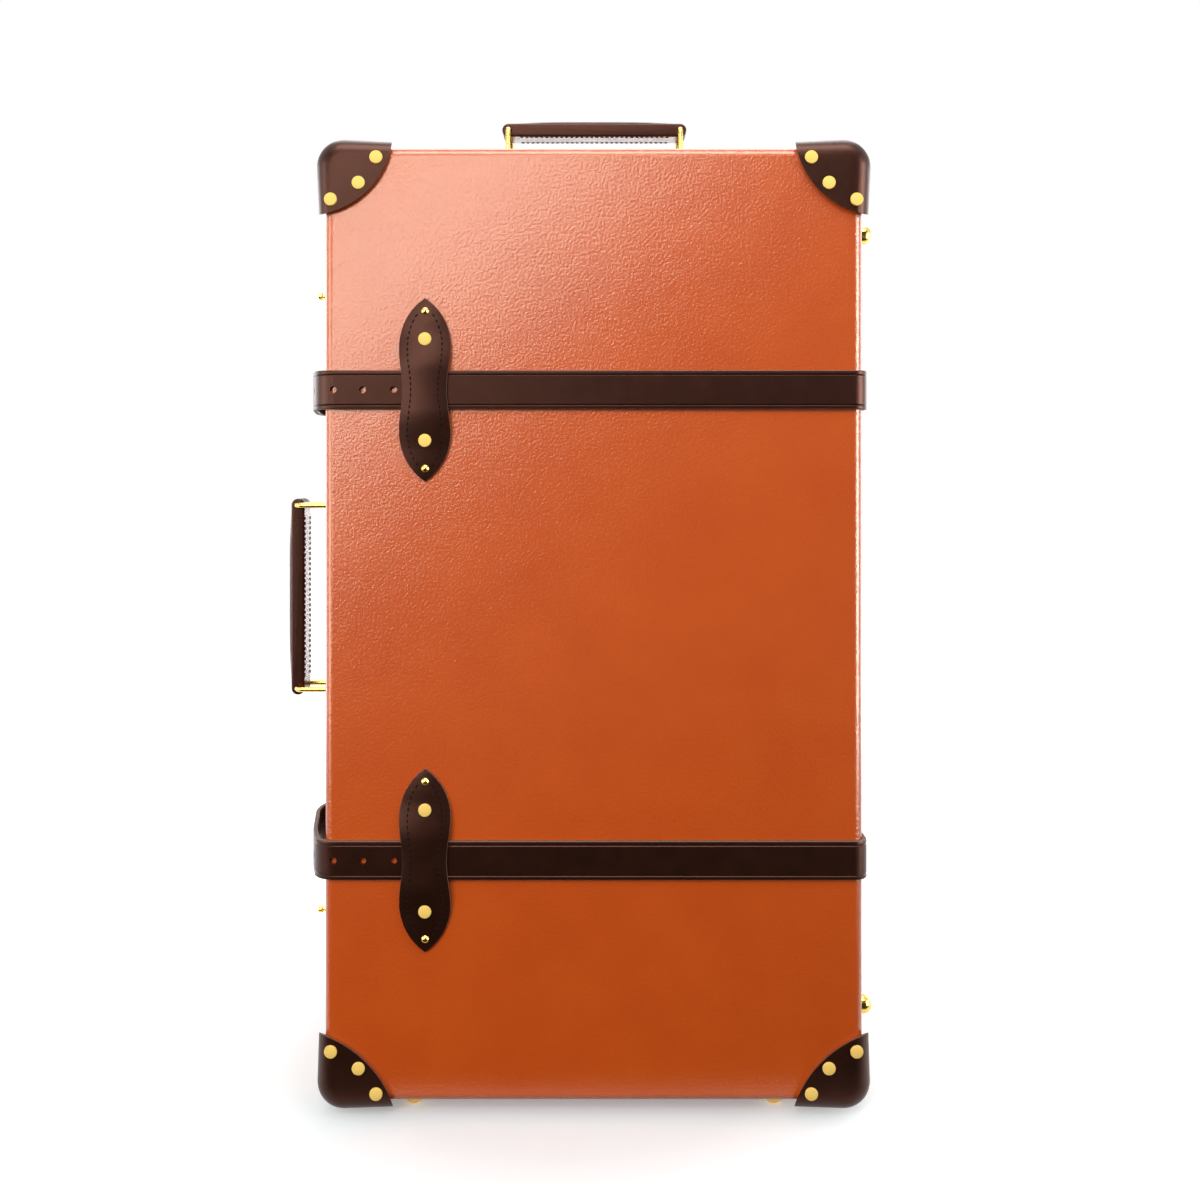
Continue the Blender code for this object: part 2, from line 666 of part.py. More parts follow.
def keeper_half_width(height):
    """Half the leaf's width at a height from its middle: a waist, a lobe, then an arc to the tip."""
    rise = KEEPER_HALF_HEIGHT - KEEPER_LOBE_HEIGHT
    if height < KEEPER_LOBE_HEIGHT:
        swell = (1 - math.cos(math.pi * height / KEEPER_LOBE_HEIGHT)) / 2
        return KEEPER_WAIST_HALF_WIDTH + (KEEPER_LOBE_HALF_WIDTH - KEEPER_WAIST_HALF_WIDTH) * swell
    radius = (KEEPER_LOBE_HALF_WIDTH**2 + rise**2) / (2 * KEEPER_LOBE_HALF_WIDTH)
    drop = math.sqrt(max(0, radius**2 - (height - KEEPER_LOBE_HEIGHT) ** 2))
    return max(0, KEEPER_LOBE_HALF_WIDTH - radius + drop)


def keeper_outline():
    """The leaf's edge, a half turn at a time."""
    heights = [KEEPER_HALF_HEIGHT * i / LEAF_STEPS for i in range(LEAF_STEPS + 1)]
    right = [Vector((keeper_half_width(h), h)) for h in heights]
    half_turn = right[:-1] + [Vector((-p.x, p.y)) for p in right[::-1]][:-1]
    return half_turn + [-p for p in half_turn]


def keeper_tab(height):
    """A leaf of leather that bridges the strap and lies on the lid's face at both ends."""
    low = FIT_GAP + KEEPER_LEATHER / 2
    high = STRAP_OUT + STRAP_THICKNESS / 2 + FIT_GAP + KEEPER_LEATHER / 2
    shoulder = STRAP_WIDTH / 2 + RUN_GAP + KEEPER_LEATHER / 2
    foot_start = shoulder + KEEPER_RAMP
    end = KEEPER_HALF_HEIGHT + OVERCUT
    rise = [(shoulder, high), (foot_start, low), (end, low)]
    both_sides = [(-along, out) for along, out in rise[::-1]] + rise
    path = rounded_path(both_sides, [KEEPER_RAMP / 2] * 4)
    width = KEEPER_LOBE_HALF_WIDTH + OVERCUT
    strip = prism(band_outline(path, KEEPER_LEATHER), -width, width)
    middle = Vector((LEFT_WALL + KEEPER_FROM_SIDE, -LID_DEPTH, height))
    upright = Matrix(((0, 0, 1, 0), (0, -1, 0, 0), (1, 0, 0, 0), (0, 0, 0, 1)))
    strip = moved(strip, Matrix.Translation(middle) @ upright)
    leaf = prism(keeper_outline(), -OVERCUT, OVERCUT * 2)
    facing = Matrix(((1, 0, 0, 0), (0, 0, -1, 0), (0, 1, 0, 0), (0, 0, 0, 1)))
    leaf = moved(leaf, Matrix.Translation(middle) @ facing)
    return combine(strip, leaf, "INTERSECT")


def add_keepers():
    for level, height in STRAP_HEIGHTS.items():
        add_piece(f"{level}_keeper_tab", keeper_tab(height), LEATHER, lid)


def lofted(sections):
    """A closed skin over sections that have the same number of points."""
    shape = bmesh.new()
    rows = [[shape.verts.new(point) for point in section] for section in sections]
    for row, following in zip(rows, rows[1:]):
        for index in range(len(row)):
            after = (index + 1) % len(row)
            shape.faces.new((row[index], row[after], following[after], following[index]))
    shape.faces.new(rows[0])
    shape.faces.new(rows[-1])
    bmesh.ops.recalc_face_normals(shape, faces=shape.faces)
    return shape


def grip_section(x, half_thickness, bar_out, half_length):
    """The grip's outline across its length: a flat underside and a crowned back that fades to the ends."""
    width = GRIP_WIDTH / 2
    crown = max(0, GRIP_CROWN * (1 - (x / half_length) ** 4))
    back = [-1 + 2 * i / GRIP_CROWN_STEPS for i in range(GRIP_CROWN_STEPS + 1)]
    points = [(x, share * width, bar_out + half_thickness + crown * (1 - share**2)) for share in back]
    return points + [(x, width, bar_out - half_thickness), (x, -width, bar_out - half_thickness)]


def grip(bar_out, half):
    """A grip with rounded ends and a bore for a ring at each, drawn along X, outwards being Z."""
    radius = GRIP_THICKNESS / 2
    round_end = arc(Vector((half, 0)), radius, ARC_STEP, 90)
    inner = [(half * i / GRIP_LENGTH_STEPS, radius) for i in range(GRIP_LENGTH_STEPS - 1, 0, -1)]
    right = round_end + inner
    stations = right + [(0, radius)] + [(-x, half_thickness) for x, half_thickness in right[::-1]]
    shape = lofted([grip_section(x, half_thickness, bar_out, half) for x, half_thickness in stations])
    bore = RING_ROD_RADIUS + RUN_GAP
    for x in (-half, half):
        hole = moved(cylinder(bore, -GRIP_WIDTH, GRIP_WIDTH), ACROSS)
        shape = cut(shape, moved(hole, Matrix.Translation((x, 0, bar_out))))
    return shape


def handle_plate(x, pivot_out):
    """A plate on the wall with a tube for a ring's inner bar."""
    bore = RING_ROD_RADIUS + RUN_GAP
    half = HANDLE_PLATE_LENGTH / 2
    width = HANDLE_PLATE_WIDTH / 2
    top = FIT_GAP + HANDLE_PLATE_THICKNESS
    shape = block((x - half, FIT_GAP, -width), (x + half, top, width))
    place = Matrix.Translation((x, pivot_out, 0))
    tube = moved(cylinder(bore + HANDLE_TUBE_WALL, -width, width), place)
    shape = cut(join(shape, tube), moved(cylinder(bore, -width - OVERCUT, width + OVERCUT), place))
    return moved(shape, ACROSS)


def ring(x, pivot_out):
    """A rectangular wire ring that stands out from the wall."""
    loop = rounded_loop(RING_WIDTH, RING_HEIGHT, RING_CORNER_RADIUS)
    middle = pivot_out + RING_HEIGHT / 2
    return rod([(x, p.x, middle + p.y) for p in loop], RING_ROD_RADIUS, closed=True)


def add_handle(name, place, spacing):
    """Two plates, two rings and a grip. The place turns X along the grip and Z outwards."""
    tube_radius = RING_ROD_RADIUS + RUN_GAP + HANDLE_TUBE_WALL
    pivot_out = FIT_GAP + HANDLE_PLATE_THICKNESS - HANDLE_TUBE_SINK + tube_radius
    bar_out = pivot_out + RING_HEIGHT
    half = spacing / 2
    for end, x in (("first", -half), ("second", half)):
        plate = moved(handle_plate(x, pivot_out), place)
        add_piece(f"{name}_{end}_plate", plate, BRASS, case)
        pivot = axis_empty(f"{name}_{end}_ring_axis", place @ Vector((x, 0, pivot_out)), case)
        add_piece(f"{name}_{end}_ring", moved(ring(x, pivot_out), place), BRASS, pivot)
    grip_axis = axis_empty(f"{name}_grip_axis", place @ Vector((-half, 0, bar_out)), case)
    add_piece(f"{name}_grip", moved(grip(bar_out, half), place), LEATHER, grip_axis)


def add_handles():
    """One handle on the left side, about halfway up, and a shorter one on the top end."""
    sideways = Matrix(((0, 0, -1, 0), (0, 1, 0, 0), (1, 0, 0, 0), (0, 0, 0, 1)))
    side = Matrix.Translation((LEFT_WALL, SIDE_HANDLE_FROM_PARTING, CASE_MIDDLE + SIDE_HANDLE_RISE))
    top = Matrix.Translation((0, TOP_HANDLE_FROM_PARTING, CASE_BOTTOM + CASE_HEIGHT))
    add_handle("side_handle", side @ sideways, SIDE_RING_SPACING)
    add_handle("top_handle", top, TOP_RING_SPACING)


def lock_body():
    """A lock case on the base's left wall, drawn about its own height, with a slot for the knob's foot."""
    near, far = LOCK_FROM_PARTING, LOCK_FROM_PARTING + LOCK_DEPTH
    top = FIT_GAP + LOCK_THICKNESS
    half = LOCK_LENGTH / 2
    shape = block((LEFT_WALL - top, near, -half), (LEFT_WALL - FIT_GAP, far, half))
    outer = [e for e in shape.edges if all(v.co.x < LEFT_WALL - LOCK_THICKNESS / 2 for v in e.verts)]
    round_edges(shape, outer, LOCK_BEVEL, 2)
    slot_y = far - SLOT_FROM_EDGE
    slot = block(
        (LEFT_WALL - top - OVERCUT, slot_y - SLOT_WIDTH / 2, -SLOT_LENGTH / 2),
        (LEFT_WALL - top + SLOT_DEPTH, slot_y + SLOT_WIDTH / 2, SLOT_LENGTH / 2),
    )
    return cut(shape, slot), slot_y


def lock_knob(slot_y):
    """A thumb knob on a foot that rests at the lower end of the lock's slot."""
    floor = LEFT_WALL - FIT_GAP - LOCK_THICKNESS + SLOT_DEPTH - FIT_GAP
    half = SLOT_WIDTH / 2 - FIT_GAP
    low = -SLOT_LENGTH / 2 + FIT_GAP
    high = low + KNOB_FOOT_LENGTH
    foot_top = floor - SLOT_DEPTH
    shape = block((foot_top, slot_y - half, low), (floor, slot_y + half, high))
    neck = KNOB_RADIUS - KNOB_RIM
    profile = [(0, 0), (neck, 0), (neck, KNOB_HEIGHT / 2)]
    profile += [(KNOB_RADIUS, KNOB_HEIGHT / 2), (KNOB_RADIUS, KNOB_HEIGHT - KNOB_RIM)]
    profile += [(neck, KNOB_HEIGHT), (0, KNOB_HEIGHT)]
    outward = Matrix.Rotation(-math.pi / 2, 4, "Y")
    place = Matrix.Translation((foot_top + FIT_GAP, slot_y, (low + high) / 2))
    return join(shape, moved(turned(profile), place @ outward))


def hasp_plan():
    """The hasp pin's place in x and y, clear of the lock body, and the barrel's radii."""
    bore = HASP_PIN_RADIUS + FIT_GAP
    barrel = bore + HASP_BARREL_WALL
    arm_out = FIT_GAP + LOCK_THICKNESS + RUN_GAP + HASP_THICKNESS
    pin = Vector((LEFT_WALL - arm_out + barrel, -barrel - RUN_GAP))
    return pin, bore, barrel


def hasp():
    """A bored barrel with an arm that lies over the lock body, drawn about its own height."""
    pin, bore, barrel = hasp_plan()
    half = HASP_WIDTH / 2
    place = Matrix.Translation((*pin, 0))
    tip_y = LOCK_FROM_PARTING + HASP_REACH
    arm = block((pin.x - barrel, pin.y, -half), (pin.x - barrel + HASP_THICKNESS, tip_y, half))
    tip = [e for e in arm.edges if all(abs(v.co.y - tip_y) < SAME_POINT for v in e.verts)]
    corners = [e for e in tip if abs(e.verts[0].co.z - e.verts[1].co.z) < SAME_POINT]
    round_edges(arm, corners, HASP_TIP_RADIUS, EDGE_SEGMENTS)
    shape = join(moved(cylinder(barrel, -half, half), place), arm)
    return cut(shape, moved(cylinder(bore, -half - OVERCUT, half + OVERCUT), place))


def hasp_plate():
    """A plate on the lid's left wall with two lugs and the hasp's pin between them."""
    pin, _, barrel = hasp_plan()
    inner = HASP_WIDTH / 2 + RUN_GAP
    outer = inner + HASP_LUG_LENGTH
    top = LEFT_WALL - FIT_GAP - HASP_PLATE_THICKNESS
    edge = -PARTING_GAP - RUN_GAP
    shape = block((top, -HASP_PLATE_DEPTH, -outer), (LEFT_WALL - FIT_GAP, edge, outer))
    for low, high in ((-outer, -inner), (inner, outer)):
        lug = block((pin.x, pin.y - barrel, low), (top + FIT_GAP, edge, high))
        knuckle = moved(cylinder(barrel, low, high), Matrix.Translation((*pin, 0)))
        shape = join(shape, lug, knuckle)
    bar = cylinder(HASP_PIN_RADIUS, -outer + RUN_GAP, outer - RUN_GAP)
    return join(shape, moved(bar, Matrix.Translation((*pin, 0))))


def add_locks():
    """Two locks: body and knob on the base, hasp plate and hasp on the lid."""
    pin, _, _ = hasp_plan()
    for level, height in LOCK_HEIGHTS.items():
        place = Matrix.Translation((0, 0, height))
        body, slot_y = lock_body()
        add_piece(f"{level}_lock_body", moved(body, place), BRASS, case)
        slide = axis_empty(f"{level}_knob_slide", (LEFT_WALL, slot_y, height), case)
        add_piece(f"{level}_lock_knob", moved(lock_knob(slot_y), place), BRASS, slide)
        add_piece(f"{level}_hasp_plate", moved(hasp_plate(), place), BRASS, lid)
        pin_axis = axis_empty(f"{level}_hasp_axis", (*pin, height), lid)
        add_piece(f"{level}_hasp", moved(hasp(), place), BRASS, pin_axis)


def stand_on_origin():
    """Moves the case so that the world's origin lies on the floor under the middle of the part."""
    bpy.context.view_layer.update()
    points = [
        piece.matrix_world @ vertex.co
        for piece in bpy.context.collection.objects
        if piece.type == "MESH"
        for vertex in piece.data.vertices
    ]
    low = Vector([min(p[i] for p in points) for i in range(3)])
    high = Vector([max(p[i] for p in points) for i in range(3)])
    case.location = Vector((-(low.x + high.x) / 2, -(low.y + high.y) / 2, -low.z))
    bpy.context.view_layer.update()
    print("size", [round(v, 5) for v in high - low])
    for item in bpy.context.collection.objects:
        if item.type == "EMPTY":
            print(item.name, [round(v, 5) for v in item.matrix_world.translation])


for leftover in list(bpy.data.objects):
    bpy.data.objects.remove(leftover)

FIBREBOARD = finish("orange_fibreboard", (0.58, 0.09, 0.015), 0.45, 0)
LEATHER = finish("brown_leather", (0.045, 0.014, 0.009), 0.5, 0)
BRASS = finish("brass", (0.83, 0.60, 0.25), 0.28, 1)
WOOD = finish("pale_wood", (0.55, 0.36, 0.19), 0.6, 0)
LINING = finish("cotton_lining", (0.62, 0.53, 0.40), 0.9, 0)

# Turns a shape drawn in X and Y, and drawn out along Z, so that Y becomes outwards and Z across.
ACROSS = Matrix(((1, 0, 0, 0), (0, 0, -1, 0), (0, 1, 0, 0), (0, 0, 0, 1)))

case = axis_empty("case", (0, 0, 0))
lid = axis_empty("lid_hinge_axis", HINGE_AXIS, case)
add_shells()
add_corner_caps()
add_feet()
add_hinges()
add_straps()
add_keepers()
add_handles()
add_locks()
stand_on_origin()
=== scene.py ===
# %% [markdown]
# # A strapped suitcase of fibreboard, leather and brass
# The frame holds every piece of the case at its real place and size. This lesson gives the pieces
# their looks: pressed orange board, dark brown leather with cut edges and stitches, and polished brass.
# Everything is measured from the frame, so no piece has to be fitted by eye.

# %% Load the frame
import json
import math

import bmesh
import bpy
from mathutils import Matrix, Vector
from mathutils.bvhtree import BVHTree

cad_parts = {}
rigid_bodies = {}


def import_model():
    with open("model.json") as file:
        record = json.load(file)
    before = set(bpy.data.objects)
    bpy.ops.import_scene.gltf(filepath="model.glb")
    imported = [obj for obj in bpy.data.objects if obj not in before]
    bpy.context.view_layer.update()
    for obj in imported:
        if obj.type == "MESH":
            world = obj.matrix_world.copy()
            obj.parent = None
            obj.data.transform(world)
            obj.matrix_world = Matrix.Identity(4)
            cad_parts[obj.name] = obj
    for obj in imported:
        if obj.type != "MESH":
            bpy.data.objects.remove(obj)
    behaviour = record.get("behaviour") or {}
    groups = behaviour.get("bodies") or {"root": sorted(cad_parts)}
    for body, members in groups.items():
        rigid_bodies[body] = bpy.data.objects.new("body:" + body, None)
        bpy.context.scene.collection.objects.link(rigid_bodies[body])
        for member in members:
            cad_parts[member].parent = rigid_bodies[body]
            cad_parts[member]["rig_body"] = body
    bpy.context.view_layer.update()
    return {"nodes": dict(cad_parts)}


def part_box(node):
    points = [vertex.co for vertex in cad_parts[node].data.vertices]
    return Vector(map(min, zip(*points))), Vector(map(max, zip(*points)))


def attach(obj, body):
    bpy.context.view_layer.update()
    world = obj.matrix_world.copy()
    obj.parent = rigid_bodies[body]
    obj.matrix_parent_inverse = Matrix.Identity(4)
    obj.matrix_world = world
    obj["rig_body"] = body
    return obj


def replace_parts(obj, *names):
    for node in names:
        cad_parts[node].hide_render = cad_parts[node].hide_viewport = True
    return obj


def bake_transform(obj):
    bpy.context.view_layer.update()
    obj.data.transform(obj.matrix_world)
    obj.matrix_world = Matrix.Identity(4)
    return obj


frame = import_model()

LID_LOW, LID_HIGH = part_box("lid_shell")
BASE_LOW, BASE_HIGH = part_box("base_shell")
LEFT, RIGHT = LID_LOW.x, LID_HIGH.x
FACE, BACK = LID_LOW.y, BASE_HIGH.y
PARTING = (LID_HIGH.y + BASE_LOW.y) / 2
BOTTOM, TOP = LID_LOW.z, LID_HIGH.z
CENTER = Vector(((LEFT + RIGHT) / 2, (FACE + BACK) / 2, (BOTTOM + TOP) / 2))
FIT_GAP = 0.0003
print("case", round(RIGHT - LEFT, 4), "x", round(BACK - FACE, 4), "x", round(TOP - BOTTOM, 4))

# %% [markdown]
# ## Camera
# The photograph looks straight at the lid with level verticals. A level camera with a lens shift
# keeps them upright. Four pixel rows and columns of the photograph fix where the camera stands: the
# outline it sees is that of the rounded edges, which lie one edge radius behind the face.

# %% Camera
PHOTO_PIXELS = 1200
BODY_LEFT_PIXEL, BODY_RIGHT_PIXEL = 326, 861.5
BODY_BOTTOM_PIXEL = 1098
EYE_ROW_PIXEL = 474
CAMERA_DISTANCE = 1.03
EDGE_RADIUS = 0.008


def linked(name, data):
    """A new object in the scene."""
    item = bpy.data.objects.new(name, data)
    bpy.context.scene.collection.objects.link(item)
    return item


pixel = (RIGHT - LEFT) / (BODY_RIGHT_PIXEL - BODY_LEFT_PIXEL)
eye_x = CENTER.x + (PHOTO_PIXELS - BODY_LEFT_PIXEL - BODY_RIGHT_PIXEL) / 2 * pixel
eye_z = BOTTOM + (BODY_BOTTOM_PIXEL - EYE_ROW_PIXEL) * pixel
camera_data = bpy.data.cameras.new("camera")
camera_data.lens = camera_data.sensor_width * CAMERA_DISTANCE / pixel / PHOTO_PIXELS
camera_data.shift_y = (EYE_ROW_PIXEL - PHOTO_PIXELS / 2) / PHOTO_PIXELS
camera = linked("camera", camera_data)
camera.location = (eye_x, FACE + EDGE_RADIUS - CAMERA_DISTANCE, eye_z)
camera.rotation_euler = (math.pi / 2, 0, 0)
bpy.context.scene.camera = camera
print("camera", [round(v, 3) for v in camera.location], "lens", round(camera_data.lens, 2))

# %% [markdown]
# ## Shader nodes
# A finish is a small graph of shader nodes. One helper fills a node's sockets, with a number where a
# value is constant and with a link where it comes from another node. The others add the few kinds of
# node that the finishes share.

# %% Colours and sockets
def srgb(red, green, blue):
    """An 8-bit screen colour as the linear colour that shaders use."""
    shares = [channel / 255 for channel in (red, green, blue)]
    return tuple(s / 12.92 if s <= 0.04045 else ((s + 0.055) / 1.055) ** 2.4 for s in shares)


def fill(tree, node, **inputs):
    """Sets a node's sockets to values, or links them to other nodes' outputs."""
    for name, value in inputs.items():
        socket = node.inputs[name.replace("_", " ")]
        if isinstance(value, bpy.types.NodeSocket):
            tree.links.new(value, socket)
        else:
            socket.default_value = value
    return node


def add_node(tree, kind, **inputs):
    return fill(tree, tree.nodes.new(kind), **inputs)


def calculate(tree, operation, first, second):
    """A math node on two outputs."""
    made = add_node(tree, "ShaderNodeMath")
    made.operation = operation
    for socket, output in zip(made.inputs, (first, second)):
        tree.links.new(output, socket)
    return made.outputs[0]


# %% Patterns and reliefs
def noise(tree, place, scale, detail, distortion=0):
    settings = {"Scale": scale, "Detail": detail, "Distortion": distortion}
    return add_node(tree, "ShaderNodeTexNoise", Vector=place, **settings).outputs["Fac"]


def ramp(tree, factor, stops, colors):
    """Two colours, blended where a factor runs from one stop to the other."""
    made = add_node(tree, "ShaderNodeValToRGB", Fac=factor)
    for element, position, color in zip(made.color_ramp.elements, stops, colors):
        element.position = position
        element.color = (*color, 1)
    return made.outputs["Color"]


def spread(tree, factor, low, high, **limits):
    """A factor from 0 to 1, or between other limits, spread between two numbers."""
    made = add_node(tree, "ShaderNodeMapRange", Value=factor, To_Min=low, To_Max=high, **limits)
    return made.outputs["Result"]


def bump(tree, height, distance, strength, **under):
    """A relief of a pattern, laid over another relief if one is given."""
    made = add_node(tree, "ShaderNodeBump", Height=height, Distance=distance, Strength=strength, **under)
    return made.outputs["Normal"]


def stretched(tree, place, *squeeze):
    """Coordinates squeezed along X, Y and Z, so that a pattern stretches."""
    return add_node(tree, "ShaderNodeMapping", Vector=place, Scale=squeeze).outputs["Vector"]


def new_material(name):
    material = bpy.data.materials.new(name)
    material.use_nodes = True
    tree = material.node_tree
    place = add_node(tree, "ShaderNodeTexCoord").outputs["Object"]
    return material, tree, tree.nodes["Principled BSDF"], place


# %% [markdown]
# ## Light and floor
# The photograph has a white room, one long soft light above and left of the camera, and darkness
# behind the camera, which keeps the board's colour deep. The world is white where the camera or a
# reflection sees it, and weaker where it only lights. Dark cards that only reflections see stand in
# for the dark side of the room. Strips and rims that only reflections see, beside and above the case,
# draw its bright edges, and a panel behind it does the same. Three fills are the reverse: they light
# surfaces, and no reflection shows them.

# %% World
FILL_STRENGTH = 0.43


def seen(tree):
    """One for what the camera sees, directly or in a reflection, and zero for what only lights."""
    rays = add_node(tree, "ShaderNodeLightPath").outputs
    reflected = calculate(tree, "MAXIMUM", rays["Is Glossy Ray"], rays["Is Transmission Ray"])
    return calculate(tree, "MAXIMUM", rays["Is Camera Ray"], reflected)


world = bpy.data.worlds.new("white_room")
bpy.context.scene.world = world
world.use_nodes = True
sky = world.node_tree
fill(sky, sky.nodes["Background"], Color=(1, 1, 1, 1), Strength=spread(sky, seen(sky), FILL_STRENGTH, 1))
bpy.context.scene.view_settings.view_transform = "Standard"
print(world.name, "lights with", FILL_STRENGTH)

# %% Floor
FLOOR_SIZE = 12
# The floor glows for the camera, weakest near the case and full from FAR on. This paints shade round the
# case's foot, over its real contact shadow. Light that bounces off the floor sees it dark.
PAINTED_SHADE_GLOW, FAR_GLOW = 0.27, 0.75
NEAR, FAR = 0.18, 0.42
FLOOR_COLORS = (0.15, 0.15, 0.15), (0.76, 0.8, 0.81)
FLOOR_ROUGHNESS = 0.9


def as_mesh(shape, name="scratch"):
    mesh = bpy.data.meshes.new(name)
    shape.to_mesh(mesh)
    shape.free()
    return mesh


def flat_sheet(name, size_x, size_y):
    shape = bmesh.new()
    bmesh.ops.create_grid(shape, x_segments=1, y_segments=1, size=0.5)
    bmesh.ops.scale(shape, vec=(size_x, size_y, 1), verts=shape.verts)
    sheet = linked(name, as_mesh(shape, name))
    return sheet


floor = flat_sheet("floor", FLOOR_SIZE, FLOOR_SIZE)
floor_paint, tree, shader, place = new_material("pale_floor")
looks = seen(tree)
away = tree.nodes.new("ShaderNodeVectorMath")
away.operation = "LENGTH"
tree.links.new(place, away.inputs[0])
# Painted shade: the floor's glow is weaker near the case.
glow_with_painted_shade = spread(tree, away.outputs["Value"], PAINTED_SHADE_GLOW, FAR_GLOW, From_Min=NEAR, From_Max=FAR)
fill(
    tree, shader,
    Roughness=FLOOR_ROUGHNESS, Specular_IOR_Level=0, Emission_Color=(1, 1, 1, 1),
    Base_Color=ramp(tree, looks, (0, 1), FLOOR_COLORS),
    Emission_Strength=calculate(tree, "MULTIPLY", looks, glow_with_painted_shade),
)
floor.data.materials.append(floor_paint)
print("floor", FLOOR_SIZE, "m wide")

# %% Lamps
KEY_SIZE, KEY_POWER = (2.0, 0.5), 25
KEY_PLACE = Vector((CENTER.x - 0.58, FACE - 1.6, 1.1))
KEY_ROLL = math.radians(45)
UPPER_SIZE, UPPER_POWER = (0.6, 0.6), 2.4
UPPER_PLACE = Vector((CENTER.x + 0.5, FACE - 0.7, 1.3))
FILL_SIZE = (1.2, 1.2)
REAR_PLACE, REAR_POWER = Vector((CENTER.x, BACK + 1.6, 1.3)), 14
RIGHT_PLACE, SIDE_POWER = Vector((RIGHT + 1.5, BACK + 0.3, 1.2)), 10
STRIP_SIZE, STRIP_AWAY, STRIP_AHEAD = (0.7, 1.5), 1.13, 0.58
LEFT_POWER, RIGHT_POWER, TOP_POWER = 20, 48, 30
RIM_SIZE, RIM_BEHIND, RIM_POWER = (1.2, 1.5), 0.9, 16
BACK_SIZE, BACK_POWER, BACK_AWAY = (0.6, 0.6), 8, 1.2


def area_lamp(name, place, target, size, power, hidden_from="camera", roll=0):
    """A soft lamp, hidden from the camera and from one more kind of ray if it is given."""
    data = bpy.data.lights.new(name, "AREA")
    data.shape = "RECTANGLE"
    data.size, data.size_y = size
    data.energy = power
    lamp = linked(name, data)
    lamp.location = place
    facing = (target - place).to_track_quat("-Z", "Y").to_matrix()
    lamp.rotation_euler = (facing @ Matrix.Rotation(roll, 3, "Z")).to_euler()
    for ray in ("camera", hidden_from):
        setattr(lamp, f"visible_{ray}", False)


area_lamp("key", KEY_PLACE, CENTER, KEY_SIZE, KEY_POWER, roll=KEY_ROLL)
upper_target = Vector((CENTER.x, FACE, TOP))
area_lamp("upper", UPPER_PLACE, upper_target, UPPER_SIZE, UPPER_POWER, "glossy")
area_lamp("rear_fill", REAR_PLACE, CENTER, FILL_SIZE, REAR_POWER, "glossy")
area_lamp("right_fill", RIGHT_PLACE, CENTER, FILL_SIZE, SIDE_POWER, "glossy")
back_place = Vector((CENTER.x, BACK + BACK_AWAY, CENTER.z))
area_lamp("back_panel", back_place, CENTER, BACK_SIZE, BACK_POWER, "diffuse")
sides = {
    "left": (Vector((LEFT, FACE, CENTER.z)), Vector((-1, 0, 0)), LEFT_POWER),
    "right": (Vector((RIGHT, FACE, CENTER.z)), Vector((1, 0, 0)), RIGHT_POWER),
    "top": (Vector((CENTER.x, FACE, TOP)), Vector((0, 0, 1)), TOP_POWER),
}
for name, (edge, outward, strip_power) in sides.items():
    lamps = (("strip", -STRIP_AHEAD, STRIP_SIZE, strip_power), ("rim", RIM_BEHIND, RIM_SIZE, RIM_POWER))
    for kind, behind, size, power in lamps:
        lamp_place = edge + outward * STRIP_AWAY + Vector((0, behind, 0))
        lamp_size = size if outward.x else size[::-1]
        area_lamp(f"{name}_{kind}", lamp_place, edge, lamp_size, power, "diffuse")
print(len(bpy.data.lights), "lamps")

# %% Dark cards
FRONT_CARD, FRONT_CARD_AWAY = Vector((10.0, 5.0)), 2.4
FLOOR_CARD, FLOOR_CARD_AWAY = Vector((4.0, 2.1)), 0.045
FLOOR_CARD_HEIGHT = 0.002
CARD_COLOR = (0.02, 0.02, 0.02, 1)
card_paint, tree, shader, place = new_material("dark_card")
fill(tree, shader, Base_Color=CARD_COLOR, Specular_IOR_Level=0)


def dark_card(name, size, place, tilt):
    card = flat_sheet(name, *size)
    card.data.transform(Matrix.Translation(place) @ Matrix.Rotation(tilt, 4, "X"))
    card.data.materials.append(card_paint)
    for ray in ("camera", "diffuse", "transmission", "shadow", "volume_scatter"):
        setattr(card, f"visible_{ray}", False)


dark_card("dark_front", FRONT_CARD, (CENTER.x, FACE - FRONT_CARD_AWAY, FRONT_CARD.y / 2), math.pi / 2)
floor_card_y = FACE - FLOOR_CARD_AWAY - FLOOR_CARD.y / 2
dark_card("dark_floor", FLOOR_CARD, (CENTER.x, floor_card_y, FLOOR_CARD_HEIGHT), 0)
print("two dark cards")

# %% [markdown]
# ## Finishes
# Fibreboard is pressed and varnished: its skin has fine wrinkles a few millimetres long that break
# up the reflection of the lamp. Two noises of different size make them, and a third clouds the colour.
# A picture of real board could be laid on instead, but noise needs no unwrapping and shows no seams.

# %% Fibreboard
ORANGE = srgb(208, 84, 14)
DEEP_ORANGE = srgb(203, 79, 11)
VARNISH = (0.95, 1, 0.86, 1)


def make_fibreboard():
    material, tree, shader, place = new_material("orange_fibreboard")
    cloud = noise(tree, place, scale=16, detail=4)
    wrinkle = noise(tree, place, scale=450, detail=2)
    swell = noise(tree, place, scale=45, detail=1)
    swelling = bump(tree, swell, distance=0.001, strength=0.2)
    fill(
        tree, shader,
        Specular_IOR_Level=0.85, Specular_Tint=VARNISH,
        Base_Color=ramp(tree, cloud, (0.35, 0.65), (DEEP_ORANGE, ORANGE)),
        Roughness=spread(tree, wrinkle, low=0.23, high=0.28),
        Normal=bump(tree, wrinkle, distance=0.001, strength=0.28, Normal=swelling),
    )
    return material


fibreboard = make_fibreboard()
print("made", fibreboard.name)

# %% [markdown]
# Leather has a fine grain of pores, a brown that drifts in soft patches, and a satin polish. Its cut
# edge is paler, where the fibres show under the wax, so most leather pieces carry both finishes. The
# edge and some of the finishes below need only one noise, which their colour, their roughness and
# their relief follow, so one function makes them all.

